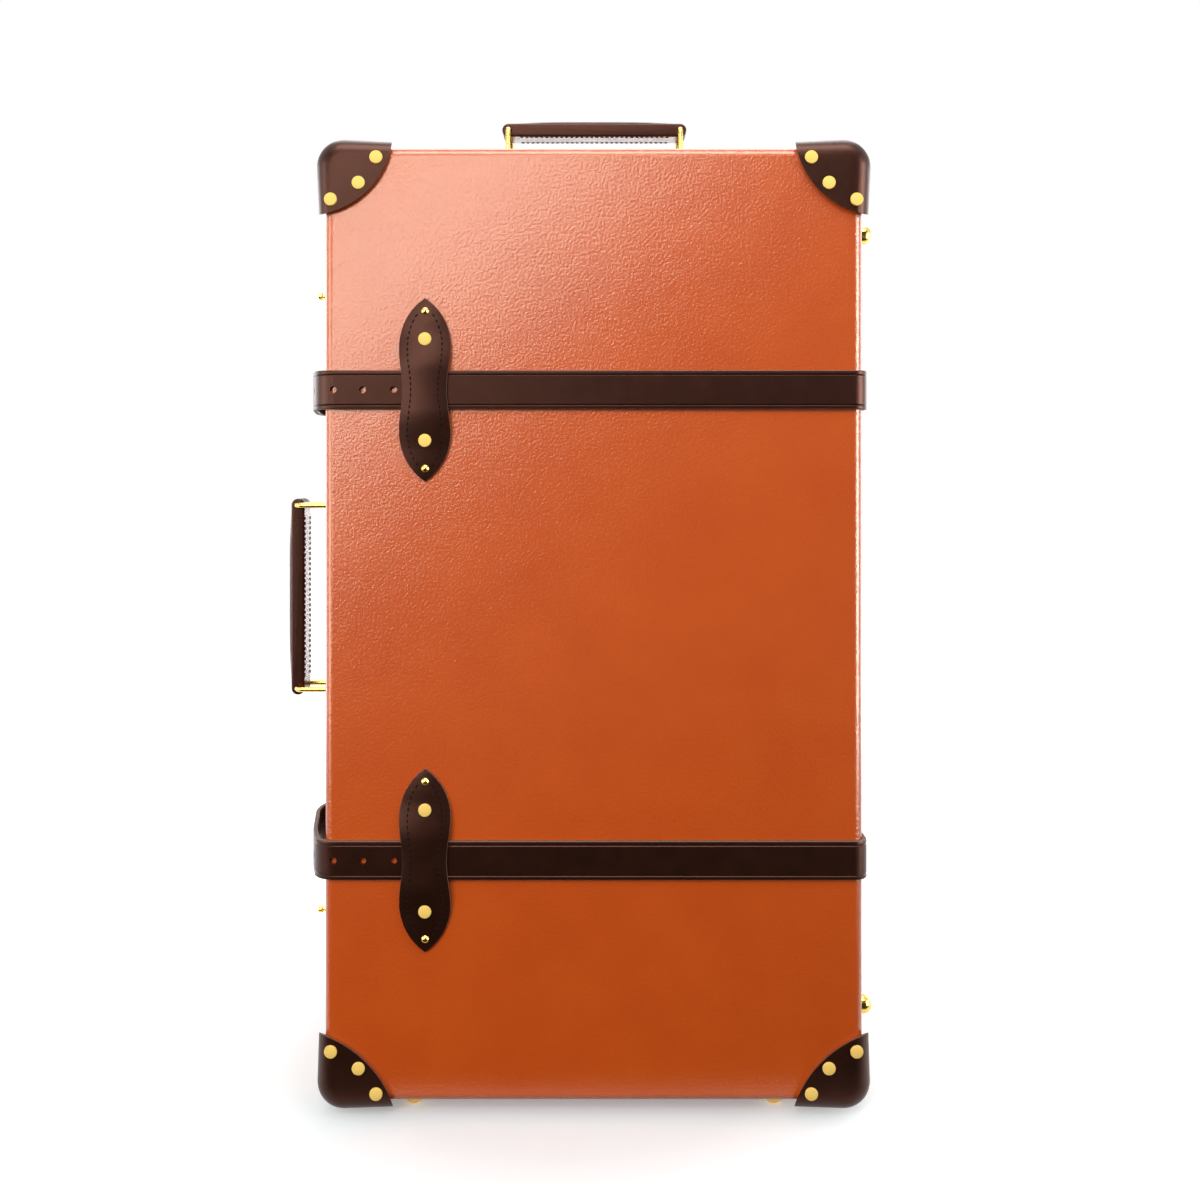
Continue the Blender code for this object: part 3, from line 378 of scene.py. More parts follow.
# %% Leather
LEATHER_COLORS = srgb(29, 10, 3), srgb(37, 14, 6)
LEATHER_GLOSS = (1, 0.45, 0.33, 1)
CUT_COLORS = srgb(86, 58, 44), srgb(120, 92, 74)
THREAD_COLORS = srgb(8, 4, 3), srgb(20, 10, 7)


def make_leather():
    material, tree, shader, place = new_material("brown_leather")
    pores = add_node(tree, "ShaderNodeTexVoronoi", Vector=place, Scale=1500).outputs["Distance"]
    patch = noise(tree, place, scale=60, detail=4)
    crumple = noise(tree, place, scale=420, detail=4)
    crumpling = bump(tree, crumple, distance=0.0004, strength=0.2)
    fill(
        tree, shader,
        Specular_IOR_Level=0.45, Specular_Tint=LEATHER_GLOSS,
        Base_Color=ramp(tree, patch, (0.3, 0.7), LEATHER_COLORS),
        Roughness=spread(tree, patch, low=0.33, high=0.4),
        Normal=bump(tree, pores, distance=0.0002, strength=0.25, Normal=crumpling),
    )
    return material


def grained(name, pattern, colors, relief, roughness=None, stops=(0.3, 0.7), stretch=(1, 1, 1), **constants):
    """A finish that follows one noise: relief is its bump's distance and strength."""
    material, tree, shader, place = new_material(name)
    grain = noise(tree, stretched(tree, place, *stretch), **pattern)
    if roughness:
        constants["Roughness"] = spread(tree, grain, *roughness)
    color = ramp(tree, grain, stops, colors)
    fill(tree, shader, Base_Color=color, Normal=bump(tree, grain, *relief), **constants)
    return material


leather = make_leather()
cut_edge = grained(
    "leather_cut_edge", {"scale": 900, "detail": 4}, CUT_COLORS,
    relief=(0.0003, 0.3), roughness=(0.5, 0.7), stops=(0.35, 0.65),
)
thread = grained(
    "waxed_thread", {"scale": 2500, "detail": 2}, THREAD_COLORS,
    relief=(0.0002, 0.4), stretch=(1, 1, 0.3), Roughness=0.8, Specular_IOR_Level=0.1,
)
print("made", leather.name, cut_edge.name, thread.name)

# %% [markdown]
# Brass fittings are polished, with faint wear: the roughness drifts a little, and fine scratches lie
# level. A noise that is squeezed along one axis makes them. The rivets' heads are brushed, and part
# of their light is scattered, so they stay bright in a dark reflection.

# %% Brass
BRASS = srgb(250, 211, 118)
BRASS_WORN = srgb(238, 190, 96)
BRASS_BRIGHT = srgb(252, 214, 106)


def make_brass():
    material, tree, shader, place = new_material("polished_brass")
    drift = noise(tree, place, scale=120, detail=3)
    scratch = noise(tree, stretched(tree, place, 1, 1, 8), scale=700, detail=2)
    fill(
        tree, shader,
        Metallic=1,
        Base_Color=ramp(tree, drift, (0.3, 0.7), (BRASS_WORN, BRASS)),
        Roughness=spread(tree, drift, low=0.14, high=0.3),
        Normal=bump(tree, scratch, distance=0.0001, strength=0.12),
    )
    return material


brass = make_brass()
satin_brass = grained(
    "satin_brass", {"scale": 900, "detail": 2}, (BRASS, BRASS_BRIGHT), relief=(0.0001, 0.15),
    roughness=(0.7, 0.78), stretch=(1, 1, 6), Metallic=0.1, Specular_IOR_Level=0.15,
)
print("made", brass.name, satin_brass.name)

# %% [markdown]
# The inside shows only when the lid opens: a pale wooden frame in each mouth and a plain woven
# cotton lining. The weave is two crossed sets of bands, which a wave texture makes. Threads of real
# geometry would look the same from here, and cost thousands of faces.

# %% Wood and cotton
WOOD_COLORS = srgb(164, 118, 74), srgb(205, 164, 114)
COTTON_COLORS = srgb(176, 158, 130), srgb(214, 199, 172)


def make_cotton():
    material, tree, shader, place = new_material("cotton_lining")
    bands = []
    for direction in ("X", "Z"):
        wave = add_node(tree, "ShaderNodeTexWave", Vector=place, Scale=260, Distortion=0.6)
        wave.bands_direction = direction
        bands.append(wave.outputs["Fac"])
    weave = calculate(tree, "MULTIPLY", *bands)
    fill(
        tree, shader,
        Roughness=0.9, Sheen_Weight=0.2,
        Base_Color=ramp(tree, weave, (0.1, 0.9), COTTON_COLORS),
        Normal=bump(tree, weave, distance=0.0004, strength=0.4),
    )
    return material


cotton = make_cotton()
wood = grained(
    "pale_wood", {"scale": 3, "detail": 5, "distortion": 0.4}, WOOD_COLORS,
    relief=(0.0003, 0.3), roughness=(0.45, 0.62), stretch=(60, 220, 6),
)
print("made", wood.name, cotton.name)

# %% [markdown]
# ## Making pieces
# A finer piece takes the place of a frame node and rides on the same body. Small parts that
# belong to no node, such as rivets, only ride.

# %% Pieces that ride
SMOOTH_ANGLE = math.radians(35)


def body_of(node):
    return frame["nodes"][node]["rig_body"]


def middle(node):
    low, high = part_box(node)
    return (low + high) / 2


def add_piece(name, shape, materials, body):
    mesh = as_mesh(shape, name)
    mesh.shade_smooth()
    mesh.set_sharp_from_angle(angle=SMOOTH_ANGLE)
    for material in materials:
        mesh.materials.append(material)
    piece = linked(name, mesh)
    if body:
        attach(piece, body)
    return piece


def dress(node, shape, *materials):
    """Puts a finer shape in the place of a frame node."""
    piece = add_piece(f"fine_{node}", shape, materials, body_of(node))
    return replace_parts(piece, node)


# %% [markdown]
# Most shapes start as a box, a turned profile or a section that is drawn along a path. These helpers
# make the first two, find edges to round, and join or cut shapes with a Boolean.

# %% Boxes and edges
SAME_POINT = 1e-6
SHARP_ANGLE = math.radians(50)


def soften(shape, edges, radius, steps):
    """Rounds edges."""
    bmesh.ops.bevel(
        shape, geom=edges, offset=radius, segments=steps, profile=0.5, affect="EDGES", material=-1
    )
    return shape


def sharp_edges(shape):
    return [e for e in shape.edges if len(e.link_faces) == 2 and e.calc_face_angle() > SHARP_ANGLE]


def edges_along(shape, axis):
    """The edges whose ends lie apart along one axis, given as 0, 1 or 2."""
    return [e for e in shape.edges if abs(e.verts[0].co[axis] - e.verts[1].co[axis]) > SAME_POINT]


def lies_at(item, axis, value):
    """Whether all corners of an edge or a face have one coordinate."""
    return all(abs(vert.co[axis] - value) < SAME_POINT for vert in item.verts)


def block(low, high):
    """A box between two corners."""
    shape = bmesh.new()
    bmesh.ops.create_cube(shape, size=1)
    low, high = Vector(low), Vector(high)
    bmesh.ops.scale(shape, vec=high - low, verts=shape.verts)
    bmesh.ops.translate(shape, vec=(low + high) / 2, verts=shape.verts)
    return shape


def moved(shape, matrix):
    """A transformed shape, with its faces turned outwards again if that mirrors it."""
    bmesh.ops.transform(shape, matrix=matrix, verts=shape.verts)
    if matrix.determinant() < 0:
        bmesh.ops.reverse_faces(shape, faces=shape.faces)
    return shape


# %% Joining and cutting
def gathered(shapes):
    """Several separate shapes in one bmesh."""
    whole = bmesh.new()
    for shape in shapes:
        mesh = as_mesh(shape)
        whole.from_mesh(mesh)
        bpy.data.meshes.remove(mesh)
    return whole


def evaluated(item):
    """An object's finished shape as a bmesh."""
    graph = bpy.context.evaluated_depsgraph_get()
    shape = bmesh.new()
    shape.from_mesh(bpy.data.meshes.new_from_object(item.evaluated_get(graph)))
    bmesh.ops.remove_doubles(shape, verts=shape.verts, dist=SAME_POINT)
    return shape


def combine(shape, tool, operation):
    """A shape cut by another, or what the two share."""
    scratch = [linked("scratch", as_mesh(source)) for source in (shape, tool)]
    boolean = scratch[0].modifiers.new("combine", "BOOLEAN")
    boolean.operation = operation
    boolean.solver = "EXACT"
    boolean.object = scratch[1]
    result = evaluated(scratch[0])
    for item in scratch:
        bpy.data.objects.remove(item)
    return result


# %% Turned shapes
def turned(profile, sides):
    """A profile of radius and height, spun about Z."""
    shape = bmesh.new()
    points = [shape.verts.new((radius, 0, height)) for radius, height in profile]
    lines = [shape.edges.new(pair) for pair in zip(points, points[1:])]
    bmesh.ops.spin(
        shape, geom=points + lines, axis=(0, 0, 1), angle=math.tau, steps=sides, use_merge=True
    )
    bmesh.ops.remove_doubles(shape, verts=shape.verts, dist=SAME_POINT)
    bmesh.ops.recalc_face_normals(shape, faces=shape.faces)
    return shape


def arc(center, radius, start, end, step=9):
    """Points on a circle between two angles in degrees."""
    count = max(2, math.ceil(abs(end - start) / step))
    angles = [math.radians(start + (end - start) * i / count) for i in range(count + 1)]
    return [Vector(center) + radius * Vector((math.cos(a), math.sin(a))) for a in angles]


def standing(point, normal):
    """A place at a point, with Z along the normal."""
    return Matrix.Translation(point) @ normal.to_track_quat("Z", "Y").to_matrix().to_4x4()


# %% [markdown]
# ## Shells and linings
# Each half is a tray of board, bent round at its corners and pressed at its edges. A box with two
# rounds of bevel and one open side has that shape, and a Solidify modifier gives it its wall. An
# extruded outline would do for the sides, but the bevel also rounds where three edges meet.

# %% Shells
HALVES = {"lid": (-1, FACE), "base": (1, BACK)}
CORNER_RADIUS = 0.016
SHELL_WALL = 0.0035
LINING_WALL = 0.0012
CORNER_STEPS = 12
EDGE_STEPS = 8


def rounded_block(low, high, closed_y, corner, edge):
    """A block whose long edges are rounded, and whose closed end is rounded too."""
    shape = block(low, high)
    soften(shape, edges_along(shape, 1), corner, CORNER_STEPS)
    return soften(shape, [e for e in shape.edges if lies_at(e, 1, closed_y)], edge, EDGE_STEPS)


def tray(node, outward, inset):
    """A tray with the node's outside, open where it meets the other half."""
    low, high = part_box(node)
    open_y, closed_y = (low.y, high.y)[::outward]
    shape = rounded_block(low, high, closed_y, CORNER_RADIUS - inset, EDGE_RADIUS - inset)
    mouth = [f for f in shape.faces if lies_at(f, 1, open_y)]
    bmesh.ops.delete(shape, geom=mouth, context="FACES_ONLY")
    return shape


def add_wall(piece, wall):
    """Gives an open tray its wall, with a crisp edge round the mouth."""
    shape = bmesh.new()
    shape.from_mesh(piece.data)
    for edge in shape.edges:
        edge.smooth = edge.smooth and not edge.is_boundary
    shape.to_mesh(piece.data)
    shape.free()
    solidify = piece.modifiers.new("wall", "SOLIDIFY")
    solidify.thickness = wall
    solidify.offset = -1
    solidify.use_even_offset = True


for half, (outward, _) in HALVES.items():
    add_wall(dress(f"{half}_shell", tray(f"{half}_shell", outward, 0), fibreboard), SHELL_WALL)
    lining = tray(f"{half}_lining", outward, SHELL_WALL + FIT_GAP)
    add_wall(dress(f"{half}_lining", lining, cotton), LINING_WALL)
    frame_node = frame["nodes"][f"{half}_frame"]
    frame_node.data.materials.clear()
    frame_node.data.materials.append(wood)
print("two shells with linings and wooden frames")

# %% [markdown]
# ## Corner caps
# Wet leather is stretched over each corner and riveted down. The cap is the case's own rounded
# outline grown by the leather's thickness, trimmed by a ball, with the case cut out of it. It is made
# at the right, top corner of a half and mirrored to its own. The balls of the top caps are smaller,
# which gives them a rounder edge, and the leather bulges a little towards the corner.

# %% Cap shape
CAP_LEATHER = 0.005
CAP_BALLS = {"bottom": (0.0939, 0.0297), "top": (0.0684, 0.0124)}
CAP_EDGE = 0.0011
CAP_BULGE = 0.0022
CUT_TOLERANCE = 0.0005


def grown_half(half, grow):
    """A half of the case, grown outwards."""
    outward, closed_y = HALVES[half]
    closed_y += outward * grow
    low_y, high_y = sorted((closed_y, PARTING))
    low = Vector((LEFT - grow, low_y, BOTTOM - grow))
    high = Vector((RIGHT + grow, high_y, TOP + grow))
    return rounded_block(low, high, closed_y, CORNER_RADIUS + grow, EDGE_RADIUS + grow)


def corner_cap(half, ball_radius, ball_out):
    skin = grown_half(half, FIT_GAP + CAP_LEATHER)
    core = grown_half(half, FIT_GAP)
    outward, closed_y = HALVES[half]
    center = Vector((RIGHT, closed_y, TOP)) + ball_out * Vector((1, outward, 1))
    ball = bmesh.new()
    bmesh.ops.create_uvsphere(ball, u_segments=128, v_segments=64, radius=ball_radius)
    bmesh.ops.translate(ball, vec=center, verts=ball.verts)
    inside = BVHTree.FromBMesh(core)
    shape = combine(combine(skin, ball, "INTERSECT"), core, "DIFFERENCE")
    for face in shape.faces:
        reach = [(v.co - center).length for v in face.verts]
        face.material_index = int(min(reach) > ball_radius - CUT_TOLERANCE)
    for vert in shape.verts:
        off_case = vert.co - inside.find_nearest(vert.co)[0]
        bulge = max(0, 1 - ((vert.co - center).length / ball_radius) ** 2)
        vert.co += off_case / CAP_LEATHER * CAP_BULGE * bulge
    return shape


# %% Rivets on the caps
RIVET_RADIUS = 0.0052
RIVET_HEIGHT = 0.0013
RIVET_ROUND = 0.0007
RIVET_CROWN = 0.0002
FACE_RIVETS = ((0.0425, 0.0098), (0.0285, 0.030), (0.0065, 0.0432))
SIDE_RIVETS = ((0.0285, 0.030), (0.0425, 0.0098))
END_RIVETS = ((0.0285, 0.030),)
RAY_START = 0.05


def rivet():
    """A flat brass head with a rounded rim and a slight dome."""
    rim = arc((RIVET_RADIUS - RIVET_ROUND, RIVET_HEIGHT - RIVET_ROUND), RIVET_ROUND, 0, 80, 20)
    profile = [(0, -RIVET_ROUND), (RIVET_RADIUS, -RIVET_ROUND)] + rim
    return turned(profile + [(0, RIVET_HEIGHT + RIVET_CROWN)], 40)


def cap_rivets(half, cap):
    """Rivets on the cap's three faces, each standing on the leather that a ray finds under it."""
    surface = BVHTree.FromBMesh(cap)
    sign, closed_y = HALVES[half]
    corner = Vector((RIGHT, closed_y, TOP))
    across, along, up = Vector((1, 0, 0)), Vector((0, sign, 0)), Vector((0, 0, 1))
    faces = [(across, up, along, FACE_RIVETS), (along, up, across, SIDE_RIVETS)]
    faces.append((across, along, up, END_RIVETS))
    heads = []
    for first, second, outward, places in faces:
        for first_in, second_in in places:
            start = corner - first * first_in - second * second_in + outward * RAY_START
            point, normal, _, _ = surface.ray_cast(start, -outward)
            heads.append(moved(rivet(), standing(point, normal)))
    return gathered(heads)


# %% Add the caps
def mirrored(shape, sign_x, sign_z):
    about = Matrix.Translation((CENTER.x, 0, CENTER.z))
    return moved(shape, about @ Matrix.Diagonal((sign_x, 1, sign_z, 1)) @ about.inverted())


for half in HALVES:
    for side, sign_x in (("left", -1), ("right", 1)):
        for end, sign_z in (("bottom", -1), ("top", 1)):
            node = f"{half}_corner_{end}_{side}"
            cap = corner_cap(half, *CAP_BALLS[end])
            heads = mirrored(cap_rivets(half, cap), sign_x, sign_z)
            piece = dress(node, mirrored(cap, sign_x, sign_z), leather, cut_edge)
            bevel = piece.modifiers.new("worn_edge", "BEVEL")
            bevel.width = CAP_EDGE
            bevel.segments = 2
            bevel.limit_method = "ANGLE"
            bevel.angle_limit = SHARP_ANGLE
            add_piece(f"{node}_rivets", heads, [satin_brass], half)
print("eight caps with rivets")

# %% [markdown]
# ## Feet
# Each foot is a turned brass dome on a thin flange, so its profile is spun about its own axis. Four
# stand under the case, and four on the hinge side carry it when it lies with its handle up.

# %% Feet
FOOT_DOME_RADIUS = 0.0075
FOOT_FLANGE_RADIUS = 0.0095
FOOT_FLANGE_HEIGHT = 0.0018
FOOT_FLANGE_ROUND = 0.0006
FOOT_FLAT_RADIUS = 0.0035
# The axis that a foot stands along, the wall that it stands on, and the way it points.
UNDER = (2, BOTTOM, Vector((0, 0, -1)))
BESIDE = (0, RIGHT, Vector((1, 0, 0)))
FEET = {
    "bottom_foot_left": UNDER, "bottom_foot_right": UNDER,
    "side_foot_lower": BESIDE, "side_foot_upper": BESIDE,
}


def foot(height):
    """A foot that stands up from z = 0."""
    flat_angle = math.degrees(math.acos(FOOT_FLAT_RADIUS / FOOT_DOME_RADIUS))
    dome_height = math.sqrt(FOOT_DOME_RADIUS**2 - FOOT_FLAT_RADIUS**2)
    rim = (FOOT_FLANGE_RADIUS - FOOT_FLANGE_ROUND, FOOT_FLANGE_HEIGHT - FOOT_FLANGE_ROUND)
    profile = [(0, FIT_GAP), (FOOT_FLANGE_RADIUS, FIT_GAP)] + arc(rim, FOOT_FLANGE_ROUND, 0, 90, 22)
    profile.append((FOOT_DOME_RADIUS, FOOT_FLANGE_HEIGHT))
    profile += arc((0, height - dome_height), FOOT_DOME_RADIUS, 0, flat_angle)
    return turned(profile + [(0, height)], 48)


for half in HALVES:
    for name, (axis, wall, outward) in FEET.items():
        node = f"{half}_{name}"
        height = max(abs(corner[axis] - wall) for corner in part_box(node))
        seat = middle(node)
        seat[axis] = wall
        dress(node, moved(foot(height), standing(seat, outward)), brass)
print("eight feet")

# %% [markdown]
# ## Straps
# A strap is a long band of leather with a line creased along each edge. Its section is extruded step
# by step along a path, so the band stays upright, where a curve with a bevel object might twist. The
# belt runs from under the keeper, round the hinge side and the back, to the buckle, so its front
# follows the lid and its back the base, and it bends where they meet.

# %% Paths
# The most of a path's side that one rounded corner may use up.
CORNER_SHARE = 0.49


def rounded_path(corners, radii, step=6):
    """A path in a plane with its inner corners rounded, no rounder than their sides allow."""
    corners = [Vector(corner) for corner in corners]
    path = [corners[0]]
    for before, corner, after, radius in zip(corners, corners[1:], corners[2:], radii):
        back, ahead = (before - corner).normalized(), (after - corner).normalized()
        slope = math.tan(back.angle(ahead) / 2)
        room = CORNER_SHARE * min((before - corner).length, (after - corner).length)
        reach = min(radius / slope, room)
        center = corner + (back + ahead).normalized() * math.hypot(reach, reach * slope)
        first, last = corner + back * reach - center, corner + ahead * reach - center
        start = math.degrees(math.atan2(first.y, first.x))
        turn = math.degrees(math.atan2(first.cross(last), first.dot(last)))
        path += arc(center, reach * slope, start, start + turn, step)
    return path + [corners[-1]]


def evenly(path, longest):
    """The path with its long steps divided."""
    points = [path[0]]
    for before, after in zip(path, path[1:]):
        parts = max(1, math.ceil((after - before).length / longest))
        points += [before.lerp(after, part / parts) for part in range(1, parts + 1)]
    return points


def strip_places(points, across):
    """A place at each point of a path: X across the strip, Y outwards and Z along the path."""
    places = []
    for index, point in enumerate(points):
        ahead = points[min(index + 1, len(points) - 1)]
        along = (ahead - points[max(index - 1, 0)]).normalized()
        turn = Matrix((across, along.cross(across), along)).transposed()
        places.append(Matrix.Translation(point) @ turn.to_4x4())
    return places


def sweep(section, places):
    """A closed section, extruded from place to place."""
    shape = bmesh.new()
    face = shape.faces.new([shape.verts.new(places[0] @ Vector((x, y, 0))) for x, y in section])
    for before, after in zip(places, places[1:]):
        drawn = bmesh.ops.extrude_face_region(shape, geom=[face])["geom"]
        face = next(item for item in drawn if isinstance(item, bmesh.types.BMFace))
        bmesh.ops.transform(shape, matrix=after @ before.inverted(), verts=face.verts)
    bmesh.ops.recalc_face_normals(shape, faces=shape.faces)
    return shape


# %% Strap section
STRAP_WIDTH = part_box("upper_strap_front")[1].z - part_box("upper_strap_front")[0].z
STRAP_THICKNESS = 0.0036
STRAP_ROUND = 0.0009
CREASE_FROM_EDGE = 0.0035
CREASE_HALF_WIDTH = 0.0008
CREASE_DEPTH = 0.0007
HOLE_BAND = 0.0045


def strap_section():
    """A strap's outline with rounded edges, two creases on its outer face and a band for its holes."""
    side, top = STRAP_WIDTH / 2, STRAP_THICKNESS / 2
    inner, round_y = side - STRAP_ROUND, top - STRAP_ROUND
    crease = side - CREASE_FROM_EDGE
    groove = [(CREASE_HALF_WIDTH, 0), (0, CREASE_DEPTH), (-CREASE_HALF_WIDTH, 0)]
    groove = [(crease + aside, top - depth) for aside, depth in groove]
    outline = arc((inner, -round_y), STRAP_ROUND, -90, 0, 30) + arc((inner, round_y), STRAP_ROUND, 0, 90, 30)
    outline += groove + [(HOLE_BAND, top), (-HOLE_BAND, top)] + [(-x, y) for x, y in groove[::-1]]
    outline += arc((-inner, round_y), STRAP_ROUND, 90, 180, 30)
    outline += arc((-inner, -round_y), STRAP_ROUND, 180, 270, 30)
    return outline + [(-HOLE_BAND, -top), (HOLE_BAND, -top)]


def mark_cut_edges(strap, height):
    """Gives the faces along a strap's two edges the second material."""
    for face in strap.faces:
        from_middle = abs(face.calc_center_median().z - height)
        face.material_index = int(from_middle > STRAP_WIDTH / 2 - STRAP_ROUND / 2)
    return strap


# %% Belts
LEVELS = ("upper", "lower")
RUN_GAP = 0.0005
ROD_RADIUS = 0.0023
PRONG_RADIUS = 0.0015
STRAP_FOLD_ANGLE = 220
STRAP_STEP = 0.005
STRAP_OUT = FIT_GAP + STRAP_THICKNESS / 2
CHAPE_RADIUS = ROD_RADIUS + FIT_GAP + STRAP_THICKNESS


def strap_levels():
    """Each strap's name and height, its keeper's middle, and its buckle's heel and nose bars."""
    for level in LEVELS:
        low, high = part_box(f"{level}_buckle_frame")
        heel = Vector((high.x - ROD_RADIUS, high.y - ROD_RADIUS))
        nose = Vector((low.x + ROD_RADIUS, low.y + ROD_RADIUS))
        yield level, (low.z + high.z) / 2, middle(f"{level}_keeper_tab").x, heel, nose


def belt_path(keeper_x, heel):
    side, wall = RIGHT + STRAP_OUT, LEFT - STRAP_OUT
    face, back = FACE - STRAP_OUT, BACK + STRAP_OUT
    corners = [(keeper_x, face), (side, face), (side, back), (wall, back), (wall, heel.y)]
    run = rounded_path(corners, [EDGE_RADIUS + STRAP_OUT] * 3)
    fold = arc(heel, CHAPE_RADIUS - STRAP_THICKNESS / 2, 0, -STRAP_FOLD_ANGLE)
    return evenly(run[:-1] + fold, STRAP_STEP)


for level, height, keeper_x, heel, nose in strap_levels():
    points = [Vector((*point, height)) for point in belt_path(keeper_x, heel)]
    belt = sweep(strap_section(), strip_places(points, Vector((0, 0, 1))))
    reach = Vector((CHAPE_RADIUS + RUN_GAP, CHAPE_RADIUS + RUN_GAP, PRONG_RADIUS + RUN_GAP))
    fold = Vector((*heel, height))
    slot = block(fold - reach, fold + reach - Vector((FIT_GAP, 0, 0)))
    belt = mark_cut_edges(combine(belt, slot, "DIFFERENCE"), height)
    print(level, "belt of", len(belt.faces), "faces")
    piece = add_piece(f"fine_{level}_belt", belt, [leather, cut_edge], None)
    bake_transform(piece)
    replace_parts(piece, f"{level}_strap_front", f"{level}_strap_back")

# %% [markdown]
# The loose end comes out of the keeper, turns round the left edge, bows out and goes through the
# buckle. Holes are punched along it at an even pitch, and a slot lets the prong through. They could
# be modelled into the section, but a Boolean with all the punches at once is simpler.

# %% Loose ends
STRAP_BEND_OUT = 0.0045
STRAP_BEND_RADIUS = 0.0182
STRAP_SWELL_OUT = 0.0145
STRAP_SWELL_Y = PARTING - 0.045
STRAP_CREST_OUT = 0.0275
STRAP_CREST_Y = PARTING + 0.028
STRAP_BOW_RADIUS = 0.060
STRAP_WAVE_RADIUS = 0.012
STRAP_SLACK = 0.0015
STRAP_TIP_FROM_BACK = 0.017
TIP_LENGTH = 0.016
TIP_WIDTH = 0.2


def tongue_path(keeper_x, heel, nose):
    face = FACE - STRAP_OUT
    under = nose.x + ROD_RADIUS + STRAP_SLACK + STRAP_THICKNESS / 2
    over = heel.x - CHAPE_RADIUS - STRAP_SLACK - STRAP_THICKNESS / 2
    flat = LEFT - 2 * STRAP_OUT - STRAP_THICKNESS / 2
    tip_y = BACK - STRAP_TIP_FROM_BACK
    corners = [
        (keeper_x - FIT_GAP, face), (LEFT - STRAP_BEND_OUT, face),
        (LEFT - STRAP_SWELL_OUT, STRAP_SWELL_Y), (LEFT - STRAP_CREST_OUT, STRAP_CREST_Y),
        (under, nose.y), (over, heel.y), (flat, (heel.y + tip_y) / 2), (flat, tip_y),
    ]
    radii = [STRAP_BEND_RADIUS, STRAP_BOW_RADIUS, STRAP_BOW_RADIUS] + [STRAP_WAVE_RADIUS] * 3
    return evenly(rounded_path(corners, radii, 4), STRAP_STEP / 2)


def narrowed(places):
    """The places with the last ones squeezed across, for a rounded tip."""
    end = places[-1].translation
    tapered = []
    for place in places:
        into_tip = max(0, 1 - (place.translation - end).length / TIP_LENGTH)
        tapered.append(place @ Matrix.Diagonal((max(TIP_WIDTH, math.sqrt(1 - into_tip**2)), 1, 1, 1)))
    return tapered


# %% Punched holes
HOLE_RADIUS = 0.00275
HOLE_PITCH = 0.0237
FIRST_HOLE_FROM_SIDE = 0.0564
PUNCH_LENGTH = 4 * STRAP_THICKNESS
PRONG_SLOT_SHARE = 0.656
PRONG_SLOT_HALF_LENGTH = 0.010
PRONG_SLOT_DEPTH = 0.02
# Lays a shape's Z axis along Y.
ALONG_Y = Matrix.Rotation(-math.pi / 2, 4, "X")


def rod(radius, length, sides=32):
    """A plain rod along Z, which is also a drill."""
    shape = bmesh.new()
    bmesh.ops.create_cone(
        shape, cap_ends=True, segments=sides, radius1=radius, radius2=radius, depth=length
    )
    return shape


def punches(places, slot_center):
    """A punch at every pitch from the first hole on, clear of the prong's slot and of the tip."""
    cutters = []
    walked, due = 0, places[0].translation.x - LEFT - FIRST_HOLE_FROM_SIDE
    for before, after in zip(places, places[1:]):
        point = after.translation
        walked += (point - before.translation).length
        if walked < due:
            continue
        due += HOLE_PITCH
        off_slot = (point - slot_center).length - PRONG_SLOT_HALF_LENGTH - 2 * HOLE_RADIUS
        off_tip = (point - places[-1].translation).length - TIP_LENGTH
        if min(off_slot, off_tip) > 0:
            cutters.append(moved(rod(HOLE_RADIUS, PUNCH_LENGTH, 24), after @ ALONG_Y.inverted()))
    return cutters


for level, height, keeper_x, heel, nose in strap_levels():
    points = [Vector((*point, height)) for point in tongue_path(keeper_x, heel, nose)]
    places = strip_places(points, Vector((0, 0, -1)))
    tongue = sweep(strap_section(), narrowed(places))
    slot_center = Vector((*nose.lerp(heel, PRONG_SLOT_SHARE), height))
    half_slot = Vector((PRONG_SLOT_DEPTH, PRONG_SLOT_HALF_LENGTH, PRONG_RADIUS + RUN_GAP))
    cutters = punches(places, slot_center) + [block(slot_center - half_slot, slot_center + half_slot)]
    print(level, "tongue with", len(cutters) - 1, "holes and a slot")
    tongue = mark_cut_edges(combine(tongue, gathered(cutters), "DIFFERENCE"), height)
    dress(f"{level}_strap_tongue", tongue, leather, cut_edge)

# %% [markdown]
# ## Buckles
# The buckle is a bent wire frame, with a wire prong hooked round its heel bar, so both are curves
# with a round bevel. Behind it, a leather loop holds the strap's end down.

# %% Buckles
BUCKLE_CORNER_RADIUS = 0.004
PRONG_OVERHANG = 0.004
PRONG_HOOK_ANGLE = 250


def wire(points, radius, closed):
    """A round wire through points in space."""
    curve = bpy.data.curves.new("scratch", "CURVE")
    curve.dimensions = "3D"
    curve.bevel_depth = radius
    curve.bevel_resolution = 5
    curve.use_fill_caps = True
    spline = curve.splines.new("POLY")
    spline.points.add(len(points) - 1)
    for target, point in zip(spline.points, points):
        target.co = (*point, 1)
    spline.use_cyclic_u = closed
    scratch = linked("scratch", curve)
    shape = evaluated(scratch)
    bmesh.ops.recalc_face_normals(shape, faces=shape.faces)
    bpy.data.objects.remove(scratch)
    return shape


def rounded_loop(width, height, radius):
    """A closed rectangle with rounded corners, centred on zero."""
    loop = []
    for start, x, y in ((0, 1, 1), (90, -1, 1), (180, -1, -1), (270, 1, -1)):
        loop += arc((x * (width / 2 - radius), y * (height / 2 - radius)), radius, start, start + 90)
    return loop


def buckle_frame(heel, nose, height):
    tilt = nose - heel
    bar = STRAP_WIDTH + 2 * RUN_GAP + 2 * BUCKLE_CORNER_RADIUS
    center, along = (heel + nose) / 2, tilt.normalized()
    loop = rounded_loop(tilt.length, bar, BUCKLE_CORNER_RADIUS)
    return wire([(*(center + along * p.x), height + p.y) for p in loop], ROD_RADIUS, True)


